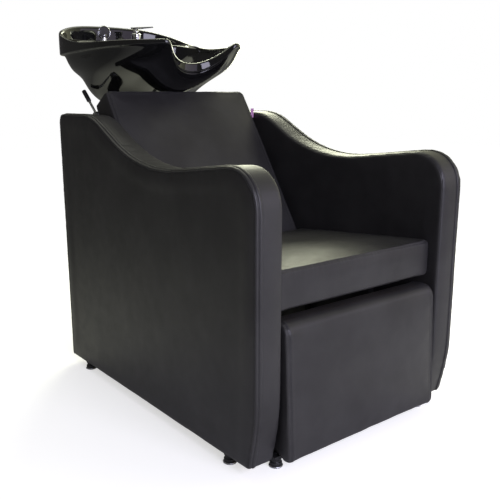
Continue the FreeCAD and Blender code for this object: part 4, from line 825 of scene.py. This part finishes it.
def arms():
    """Two padded arms: side panels sewn to a gusset that runs round the outline."""
    low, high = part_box("arm_pad_left")
    outer = side_loop("arm_pad_left", low[0])
    inner = side_loop("arm_pad_left", high[0])
    piece = voxel_copy("arm_skin_left", ["arm_pad_left", "arm_core_left"], 0.007)
    tree = flat_tree(even_path(outer, 0.004, True))
    points = coords(piece)
    floor = np.clip((low[2] + 0.02 - points[:, 2]) / 0.02, 0, 1)
    deep = np.array([tree.find((0, p[1], p[2]))[2] for p in points])
    hold = np.maximum(floor, np.clip((deep - 0.02) / 0.09, 0, 1) * 0.9)
    blown(piece, 0.003, 0.0004, hold, 0.0, True)
    subdivided(piece)
    within(piece, (low[0] - 0.006, low[1] - 0.004, low[2]), (high[0], high[1] + 0.004, 9))
    creased(piece, 0.0006, 5.0, (1, 1.3, 0.8), 3.0)
    hemmed(piece, HEM)
    lines = []
    for loop, out, over in ((outer, 0.010, 0.009), (inner, 0.0055, 0.0)):
        ring = grown(loop, out) + (over, 0, 0)
        line = over_floor(even_path(ring, 0.004, True), low[2] + 0.015)
        ends = [line[i] * (1, 1, 0) + (0, 0, low[2] - HEM + 0.004) for i in (0, -1)]
        lines.append(np.vstack([ends[:1], line, ends[1:]]))
    seams = [Seam(piece, line) for line in lines]
    sewn(piece, seams[1:], pull=0.0005, ridge=0.0003, gather=0.0003)
    within(piece, (low[0] - 0.008, low[1] - 0.006, 0), (high[0], high[1] + 0.006, 9))
    finish_piece(piece, "black_leatherette", "root", "arm_pad_left")
    welt = felled("arm_welt_left", piece, seams[0], "root")
    rows = stitches("arm_stitches_left", welt, seams[:1], "root", (-0.0094, 0.0, 0.0094))
    for source, name, *node in ((piece, "arm_skin_right", "arm_pad_right"),
                                (welt, "arm_welt_right"), (rows, "arm_stitches_right")):
        twin = bpy.data.objects.new(name, source.data.copy())
        scene.collection.objects.link(twin)
        set_coords(twin, coords(twin) * (-1, 1, 1))
        twin.data.flip_normals()
        finish_piece(twin, "black_leatherette", "root", *node)


def seat():
    """The seat cushion: a firm box cushion with a seam round each side and along its front."""
    low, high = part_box("seat_cushion")
    piece = voxel_copy("seat_skin", ["seat_cushion"], 0.005)
    points = coords(piece)
    hold = np.clip((low[2] + 0.05 - points[:, 2]) / 0.02, 0, 1)
    blown(piece, 0.006, 0.0006, hold)
    subdivided(piece)
    within(piece, (low[0], low[1] - 0.006, low[2]), (high[0], high[1], 9))
    off_base = np.clip((coords(piece)[:, 2] - low[2]) / 0.03, 0, 1)
    creased(piece, 0.0012, 7.0, (1, 1, 1), 11.0, off_base)
    front, rear = low[1] + 0.003, FRONT_Y + 0.522
    top, back = 0.468, 0.425
    edge = high[0] - 0.009
    lines = [[(x, front, top) for x in np.linspace(-edge, edge, 60)]]
    for side in (-edge, edge):
        lines.append([(side, front, low[2] + 0.012), (side, front, top - 0.004),
                      (side, front + 0.012, top + 0.004), (side, rear, back + 0.004)])
    seams = [Seam(piece, np.array(line)) for line in lines]
    sewn(piece, seams, pull=0.0008, ridge=0.0006)
    within(piece, (low[0], low[1] - 0.008, low[2]), (high[0], high[1], 9))
    finish_piece(piece, "black_leatherette", "root", "seat_cushion")
    stitches("seat_stitches", piece, seams, "root")


def backrest():
    """The leaning back cushion, with a seam round its front face."""
    low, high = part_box("back_cushion")
    piece = voxel_copy("back_skin", ["back_cushion"], 0.0055)
    run, rise = 0.284, 0.433
    lean, long = math.atan2(run, rise), math.hypot(run, rise)
    foot = (FRONT_Y + 0.53, 0.427)
    points = coords(piece)
    away = (points[:, 1] - foot[0]) * math.cos(lean) - (points[:, 2] - foot[1]) * math.sin(lean)
    hold = np.maximum(np.clip((away - 0.045) / 0.02, 0, 1),
                      np.clip((low[2] + 0.05 - points[:, 2]) / 0.05, 0, 1))
    blown(piece, 0.006, 0.0004, hold, lean)
    subdivided(piece)
    creased(piece, 0.001, 6.0, (1, 1, 0.8), 23.0)
    edge = high[0] - 0.010
    side = [(-edge, 0.004, z) for z in np.linspace(0.02, long - 0.016, 50)]
    over = [(x, 0.006, long - 0.007) for x in np.linspace(-edge + 0.008, edge - 0.008, 50)]
    line = side + over + [(edge, y, z) for x, y, z in reversed(side)]
    seams = [Seam(piece, turned_in_yz(line, lean, foot))]
    sewn(piece, seams, pull=0.001, ridge=0.0008)
    within(piece, (low[0] - 0.002, low[1], low[2]), (high[0] + 0.002, high[1] + 0.001, 9))
    finish_piece(piece, "black_leatherette", "root", "back_cushion")
    stitches("back_stitches", piece, seams, "root")


def legrest():
    """The legrest pad: a front panel that wraps over the top, sewn to side gussets."""
    low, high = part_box("legrest_pad")
    piece = voxel_copy("legrest_skin", ["legrest_pad"], 0.005)
    lean = math.radians(2.85)
    hinge = (FRONT_Y + 0.084, 0.25)
    points = coords(piece)
    deep = (points[:, 1] - hinge[0]) * math.cos(lean) - (points[:, 2] - hinge[1]) * math.sin(lean)
    hold = np.clip((deep + 0.055) / 0.012, 0, 1)
    blown(piece, 0.006, 0.0006, hold, lean)
    subdivided(piece)
    creased(piece, 0.0008, 8.0, (1, 1, 0.9), 37.0)
    edge = high[0] - 0.010
    seams = []
    for side in (-edge, edge):
        line = [(side, -0.0875, -0.209), (side, -0.0875, 0.070), (side, -0.0825, 0.087),
                (side, -0.070, 0.098), (side, -0.0575, 0.102), (side, -0.03, 0.102)]
        seams.append(Seam(piece, turned_in_yz(line, lean, hinge)))
    sewn(piece, seams, pull=0.0012, ridge=0.0008, gather=0.0009)
    within(piece, (low[0] - 0.001, low[1] - 0.007, low[2] - 0.002), (high[0] + 0.001, 9, 9))
    hemmed(piece, HEM, low[1] + 0.03)
    finish_piece(piece, "black_leatherette", "legrest", "legrest_pad")
    stitches("legrest_stitches", piece, seams, "legrest")


def label():
    """The folded ribbon tab in the backrest's right seam."""
    low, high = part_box("fabric_label")
    mid = (low[1] + high[1]) / 2
    half = (high[1] - low[1]) / 2
    section = [(0.0, half), (0.004, half * 0.9), (0.008, half * 1.1), (0.0112, half * 1.2),
               (0.012, 0.0), (0.0112, -half * 1.2), (0.008, -half * 1.1), (0.004, -half * 0.9),
               (0.0, -half), (0.0, -half * 0.4), (0.0108, -half * 0.5), (0.0108, half * 0.5),
               (0.0, half * 0.4)]
    rings = []
    for step in range(13):
        z = low[2] + (high[2] - low[2]) * step / 12
        lift = 0.0004 * math.sin(step * 1.1)
        rings.append([(low[0] + x * (high[0] - low[0]) / 0.012, mid + y + lift * x / 0.012, z)
                      for x, y in section])
    piece = ring_loft("label_tab", rings, "label_fabric")
    piece.data.set_sharp_from_angle(angle=math.radians(60))
    finish_piece(piece, "label_fabric", "root", "fabric_label")


# Basin

# The rim's outline from the front to the rear, in shares of its half width and depth, and
# each point's share of the dent that the bowl's mouth has at the neck.
RIM = ((0, 0.11), (0.2, 0.095), (0.36, 0.045), (0.46, 0.004), (0.56, 0.012), (0.72, 0.085),
       (0.88, 0.2), (0.975, 0.35), (1, 0.5), (1, 0.64), (0.985, 0.78), (0.9, 0.885),
       (0.66, 0.965), (0.34, 0.995), (0, 1))
DENT = (1, 0.86, 0.4, 0.03) + (0,) * 11
# Sections from the lowest up, of the body and of the bowl: shares of the front, the rear, the
# half width, the height in front and behind, and of the rim's outline.
BODY = ((0.434, 0.734, 0.425, 0, 0, 0), (0.4, 0.82, 0.607, 0.117, 0.117, 0),
        (0.336, 0.868, 0.77, 0.33, 0.33, 0.1), (0.202, 0.899, 0.874, 0.5, 0.57, 0.35),
        (0.074, 0.931, 0.935, 0.72, 0.72, 0.75), (0.003, 0.962, 0.965, 1, 1, 1))
BOWL = ((0.589, 0.889, 0.362, 0, 0, 0), (0.531, 0.935, 0.532, 0.1, 0.1, 0),
        (0.439, 0.97, 0.702, 0.331, 0.331, 0.1), (0.254, 0.991, 0.83, 0.622, 0.622, 0.35),
        (0.092, 1, 0.928, 0.837, 0.837, 0.75), (0, 1, 1, 1, 1, 1))
# Points to each step of the rim's outline.
AROUND = 4
# The deck that the tap and the hand shower stand on.
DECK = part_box("shower_holder")[0][2]
RIM_REAR, DRAIN_Y = FRONT_Y + 1.255, FRONT_Y + 1.04
UNDERSIDE = 0.803
# The bowl's mouth: its front, rear and half width.
MOUTH = FRONT_Y + 0.695, FRONT_Y + 1.128, 0.235


def plan_ring(front, rear, half, bend, dent=0.0):
    """A ring of points round the basin, between an ellipse and the rim's outline."""
    count = len(RIM) - 1
    deep = rear - front
    right = []
    for i, (wide, back) in enumerate(RIM):
        turn = math.pi * i / count
        x = half * ((1 - bend) * math.sin(turn) + bend * wide)
        y = deep * ((1 - bend) * (1 - math.cos(turn)) / 2 + bend * back) + bend * dent * DENT[i]
        right.append((x, front + y))
    ring = right + [(-x, y) for x, y in reversed(right[1:-1])]
    lap = len(ring)
    return natural_spline(ring * 3, np.arange(lap * AROUND) / AROUND + lap)


def set_in(ring, inset):
    """A ring drawn in along its own normals."""
    ahead = np.roll(ring, -1, axis=0) - np.roll(ring, 1, axis=0)
    out = np.stack([ahead[:, 1], -ahead[:, 0]], axis=1)
    out /= np.linalg.norm(out, axis=1)[:, None]
    return ring - out * inset


def rim_height(y):
    """The rim from the side: level, then one arc up to the rear."""
    start, end, rise = FRONT_Y + 0.93, RIM_REAR, 0.082
    radius = ((end - start) ** 2 + rise ** 2) / (2 * rise)
    run = np.clip(y - start, 0, end - start)
    return 1.0 + radius - np.sqrt(radius ** 2 - run ** 2)


def neck_drop(ring):
    """How far the rim sinks for the neck, at each point of a ring."""
    deep = 1.076 - np.sqrt(np.maximum(0.138 ** 2 - np.minimum(np.abs(ring[:, 0]), 0.137) ** 2, 0))
    drop = 1.0 - deep
    drop = 0.5 * (drop + np.sqrt(drop ** 2 + 0.009 ** 2)) - 0.0003
    front = np.clip((FRONT_Y + 0.9 - ring[:, 1]) / 0.07, 0, 1)
    return np.clip(drop, 0, 1) * front * front * (3 - 2 * front)


def basin():
    """The glazed basin: a body that swells up to a rim band, a neck dip, a deck and a bowl."""
    front, rear, half = FRONT_Y + 0.672, RIM_REAR, 0.247
    outer = plan_ring(front, rear, half, 1)
    count = len(outer)
    drop = neck_drop(outer)
    rings = []

    def add(plan, z):
        rings.append(np.column_stack([plan, np.broadcast_to(z, (count,))]))

    def smoothed(rows, steps):
        rings.extend(natural_spline(np.array(rows), np.linspace(0, len(rows) - 1, steps)))

    def sections(table, front, rear, half, low, top, dent=0.0):
        made = []
        for row in table:
            plan = plan_ring(front + (rear - front) * row[0], front + (rear - front) * row[1],
                             half * row[2], row[5], dent)
            back = np.clip((plan[:, 1] - front) / (rear - front), 0, 1)
            share = row[3] + (row[4] - row[3]) * back
            made.append(np.column_stack([plan, low + (top - low) * share]))
        return made

    def band_of(plan):
        level = 0.986 - 0.017 * ((plan[:, 1] - front) / (rear - front))
        drop = neck_drop(plan)
        return level - drop - 0.014 * np.clip(drop / 0.062, 0, 1)

    drain = np.array([(0.022 * math.sin(math.tau * k / count),
                       DRAIN_Y - 0.022 * math.cos(math.tau * k / count))
                      for k in range(count)])
    add(drain, UNDERSIDE)
    foot = sections(BODY, front, rear, half, UNDERSIDE, band_of(outer))
    add(set_in(foot[0][:, :2], 0.012), UNDERSIDE)
    add(set_in(foot[0][:, :2], 0.003), UNDERSIDE)
    smoothed(foot, 22)
    band = band_of(outer)
    top = rim_height(outer[:, 1]) - drop
    add(set_in(outer, 0.004), band - 0.0005)
    add(set_in(outer, 0.0008), band + 0.0012)
    add(outer, band + 0.004)
    add(outer, band * 0.45 + top * 0.55)
    for inset, sink in ((0, 0.0045), (0.0013, 0.0013), (0.0045, 0), (0.0085, 0), (0.0113, 0.0011),
                        (0.0125, 0.004)):
        plan = set_in(outer, inset)
        add(plan, rim_height(plan[:, 1]) - neck_drop(plan) - sink)
    mouth = plan_ring(*MOUTH, 1, 0.010)
    inner = set_in(outer, 0.0127)
    edge = rim_height(inner[:, 1]) - neck_drop(inner)
    deck = np.minimum(edge - 0.005, DECK)
    add(set_in(outer, 0.0135), deck + np.minimum(edge - 0.005 - deck, 0.004))
    add(set_in(outer, 0.0165), deck)
    gap = mouth - inner
    add(inner + gap * 0.5, deck)
    lip = np.minimum(deck, rim_height(mouth[:, 1]) - neck_drop(mouth) - 0.003)
    add(inner + gap * 0.9, lip)
    add(mouth, lip - 0.003)
    add(set_in(mouth, 0.0015), lip - 0.009)
    bowl_top = np.minimum(0.990, lip - 0.016)
    bowl = sections(BOWL, *MOUTH, 0.818, bowl_top, 0.010)
    bowl[-1][:, :2] = set_in(mouth, 0.002)
    smoothed(bowl[::-1], 24)
    add(set_in(bowl[0][:, :2], 0.03), 0.8165)
    add(drain * (1.2, 1), 0.8155)
    add(drain, 0.8135)
    points = np.vstack(rings)
    faces = []
    for r in range(len(rings)):
        on = (r + 1) % len(rings)
        for k in range(count):
            m = (k + 1) % count
            faces.append((r * count + k, r * count + m, on * count + m, on * count + k))
    piece = new_object("basin_glazed", points, faces, "black_ceramic")
    subdivided(piece)
    finish_piece(piece, "black_ceramic", "basin", "basin")


# Fittings

def squircle(wide, high, steps=20, power=0.45):
    """A rounded rectangle as a ring of two coordinates."""
    out = []
    for k in range(steps):
        angle = math.tau * k / steps
        c, s = math.cos(angle), math.sin(angle)
        out.append((math.copysign(abs(c) ** power, c) * wide / 2,
                    math.copysign(abs(s) ** power, s) * high / 2))
    return out


def mixer():
    """The single lever mixer: waisted body, cap with its fork, and a tapered lever."""
    place = (0.06, FRONT_Y + 1.176)
    steel = "chrome"
    eye = 0.00755
    body = lathe(
        "mixer_barrel",
        [(0.0002, -0.040), (0.020, -0.040), (0.020, -0.032), (0.0098, -0.032), (0.0098, 0),
         (0.0188, 0), (0.0188, 0.0022), (0.0168, 0.0036), (0.0158, 0.014), (0.017, 0.026),
         (0.017, 0.028), (0.0002, 0.028)], (*place, DECK), (0, 0, 1), steel)
    finish_piece(body, "chrome", "basin", "mixer_body")
    axle = DECK + 0.0448
    turn = Matrix.Translation((*place, axle)) @ Matrix.Rotation(math.radians(30), 4, "Z")
    dome = lathe(
        "mixer_dome",
        [(0.0002, -0.0165), (0.017, -0.0165), (0.017, -0.0120), (0.0145, -0.0085),
         (0.009, -0.0074), (0.0002, -0.0072)], (0, 0, 0), (0, 0, 1), steel, bend=0.0018)
    stem = ring_loft("mixer_stem", [[(x, y, z) for x, y in squircle(w, d)] for z, w, d in (
        (-0.009, 0.0098, 0.0118), (-0.004, 0.0098, 0.0118), (0.002, 0.0098, 0.0112),
        (0.005, 0.0094, 0.007), (0.0058, 0.008, 0.003))], steel)
    axis = lathe(
        "mixer_axle",
        [(0.0002, -0.0102), (0.0025, -0.0102), (0.0025, 0.0102), (0.0002, 0.0102)],
        (0, 0, 0), (1, 0, 0), steel, 24, 0.0005)
    cap = join("mixer_cap_dome", [dome, stem, axis])
    cap.data.transform(turn)
    finish_piece(cap, "chrome", "mixer_cap", "mixer_cap")
    blade_rows = ((0.0150, 0.55, 0.0012), (0.0142, 0.86, 0.0040), (0.0125, 0.97, 0.0056),
                  (0.006, 1.0, 0.006), (-0.010, 0.97, 0.0058), (-0.030, 0.82, 0.0051),
                  (-0.050, 0.64, 0.0042), (-0.064, 0.50, 0.0034), (-0.0685, 0.42, 0.0028),
                  (-0.070, 0.25, 0.0012))
    blade = ring_loft("mixer_blade", [[(x, y, 0.0123 - thick / 2 + z) for x, z in
                                       squircle(0.026 * share, thick, 24)]
                                      for y, share, thick in blade_rows], steel)
    cheeks = [blade]
    for side in (-1, 1):
        cheeks.append(lathe(
            "mixer_eye",
            [(0.0026, -0.0025), (0.006, -0.0025), (0.006, 0.0025), (0.0026, 0.0025)],
            (side * eye, 0, 0), (1, 0, 0), steel, 32, 0.0008))
        web = [[(side * eye + x, y, z) for x, y in squircle(0.005, d)]
               for z, d in ((0.001, 0.0118), (0.005, 0.0118), (0.0085, 0.0128))]
        cheeks.append(ring_loft("mixer_web", web, steel))
    lever = join("mixer_handle", cheeks)
    lever.data.transform(turn)
    finish_piece(lever, "chrome", "mixer_lever", "mixer_lever")


def hand_shower():
    """The hand shower that stands in its holder: collar, handle, round head, nozzled face."""
    place = (-0.056, FRONT_Y + 1.196)
    steel = "chrome"
    collar = lathe(
        "shower_collar",
        [(0.0107, -0.0002), (0.0172, -0.0002), (0.0172, 0.003), (0.0145, 0.008), (0.0107, 0.008)],
        (*place, DECK), (0, 0, 1), steel)
    finish_piece(collar, "chrome", "basin", "shower_holder")
    head_z = DECK + 0.035
    handle = lathe(
        "shower_stem",
        [(0.0002, -0.046), (0.007, -0.046), (0.0082, -0.040), (0.0078, -0.034), (0.0102, -0.024),
         (0.0104, 0.002), (0.0098, 0.010), (0.0102, 0.020), (0.0125, 0.027), (0.0002, 0.030)],
        (*place, DECK), (0, 0, 1), steel, bend=0.002)
    head = lathe(
        "shower_head",
        [(0.0002, 0.0085), (0.012, 0.0085), (0.020, 0.0055), (0.023, 0.001), (0.023, -0.006),
         (0.0215, -0.0085), (0.0198, -0.0072), (0.0002, -0.0070)],
        (*place, head_z), (0, 1, 0), steel, bend=0.002)
    body = join("shower_body", [handle, head])
    finish_piece(body, "chrome", "hand_shower", "hand_shower")
    face = [lathe(
        "spray_plate",
        [(0.0002, -0.0068), (0.0196, -0.0068), (0.0196, -0.0090), (0.0170, -0.0102),
         (0.0002, -0.0106)],
        (*place, head_z), (0, 1, 0), "spray_plastic", bend=0.0008)]
    for radius, count in ((0.0, 1), (0.005, 6), (0.0098, 12), (0.0146, 18)):
        for k in range(count):
            angle = math.tau * k / count
            spot = (place[0] + radius * math.cos(angle), place[1],
                    head_z + radius * math.sin(angle))
            face.append(lathe("spray_nozzle", [(0.0009, -0.0100), (0.0008, -0.0109),
                                               (0.0005, -0.0110), (0.0003, -0.0104)],
                              spot, (0, 1, 0), "spray_plastic", 8, 0))
    plate = join("spray_nozzles", face)
    finish_piece(plate, "spray_plastic", "hand_shower", "spray_face")


def waste():
    """The chrome waste flange in the bowl's floor."""
    flange = lathe(
        "waste_ring",
        [(0.017, -0.040), (0.020, -0.040), (0.020, 0.0), (0.032, 0.0), (0.0318, 0.0012),
         (0.029, 0.0028), (0.026, 0.003), (0.0255, 0.0022), (0.018, 0.0012), (0.017, 0.0)],
        (0, DRAIN_Y, 0.818), (0, 0, 1), "chrome", bend=0.0006)
    finish_piece(flange, "chrome", "basin", "waste_flange")


def feet():
    """Screw-in feet: a fluted black glide and stud over a bright base ring."""
    glides, rings = [], []
    for x, depth, stud in ((0.33, 0.118, 0.03), (0.33, 0.846, 0.03), (0.2567, 0.038, 0.007)):
        for side in (-1, 1):
            place = (side * x, FRONT_Y + depth, 0)
            glides.append(lathe(
                "glide",
                [(0.0002, 0.005), (0.0135, 0.005), (0.015, 0.0068), (0.0148, 0.012),
                 (0.0120, 0.0145), (0.0118, 0.0185), (0.0148, 0.021), (0.015, 0.028),
                 (0.004, 0.028), (0.004, 0.028 + stud), (0.0002, 0.028 + stud)],
                place, (0, 0, 1), "black_plastic", 36, 0.0011))
            rings.append(lathe(
                "glide_ring",
                [(0.0002, 0.0), (0.0158, 0.0), (0.017, 0.0012), (0.017, 0.0034), (0.0152, 0.005),
                 (0.0002, 0.005)], place, (0, 0, 1), "zinc_steel", 36, 0.0008))
    finish_piece(join("foot_glides", glides), "black_plastic", "root", "levelling_feet")
    finish_piece(join("foot_base_rings", rings), "zinc_steel", "root", "foot_rings")


# Build

set_camera()
set_world()
set_floor()
area_light("overhead", (0.5, 0.9, 2.9), (0, 0, 0.5), 2.6, 28, (0.98, 1.0, 0.80))
area_light("fill", (1.9, -2.3, 1.5), (0.2, -0.3, 0.4), 1.8, 10, (0.8, 0.7, 1.0))
area_light("front", (-0.4, -3.6, 1.6), (0.1, -0.1, 0.5), 2.0, 104, (0.82, 0.80, 1.0))
area_light("back", (2.1, 2.3, 1.7), (0.1, -0.1, 0.5), 1.6, 66, (0.98, 1.0, 0.76))

materials = all_materials()
for row in frame["record"]["subparts"]:
    for slot in nodes[row["node"]].material_slots:
        slot.material = materials[row["material_slot"]]

arms()
seat()
backrest()
legrest()
label()
basin()
mixer()
hand_shower()
waste()
feet()
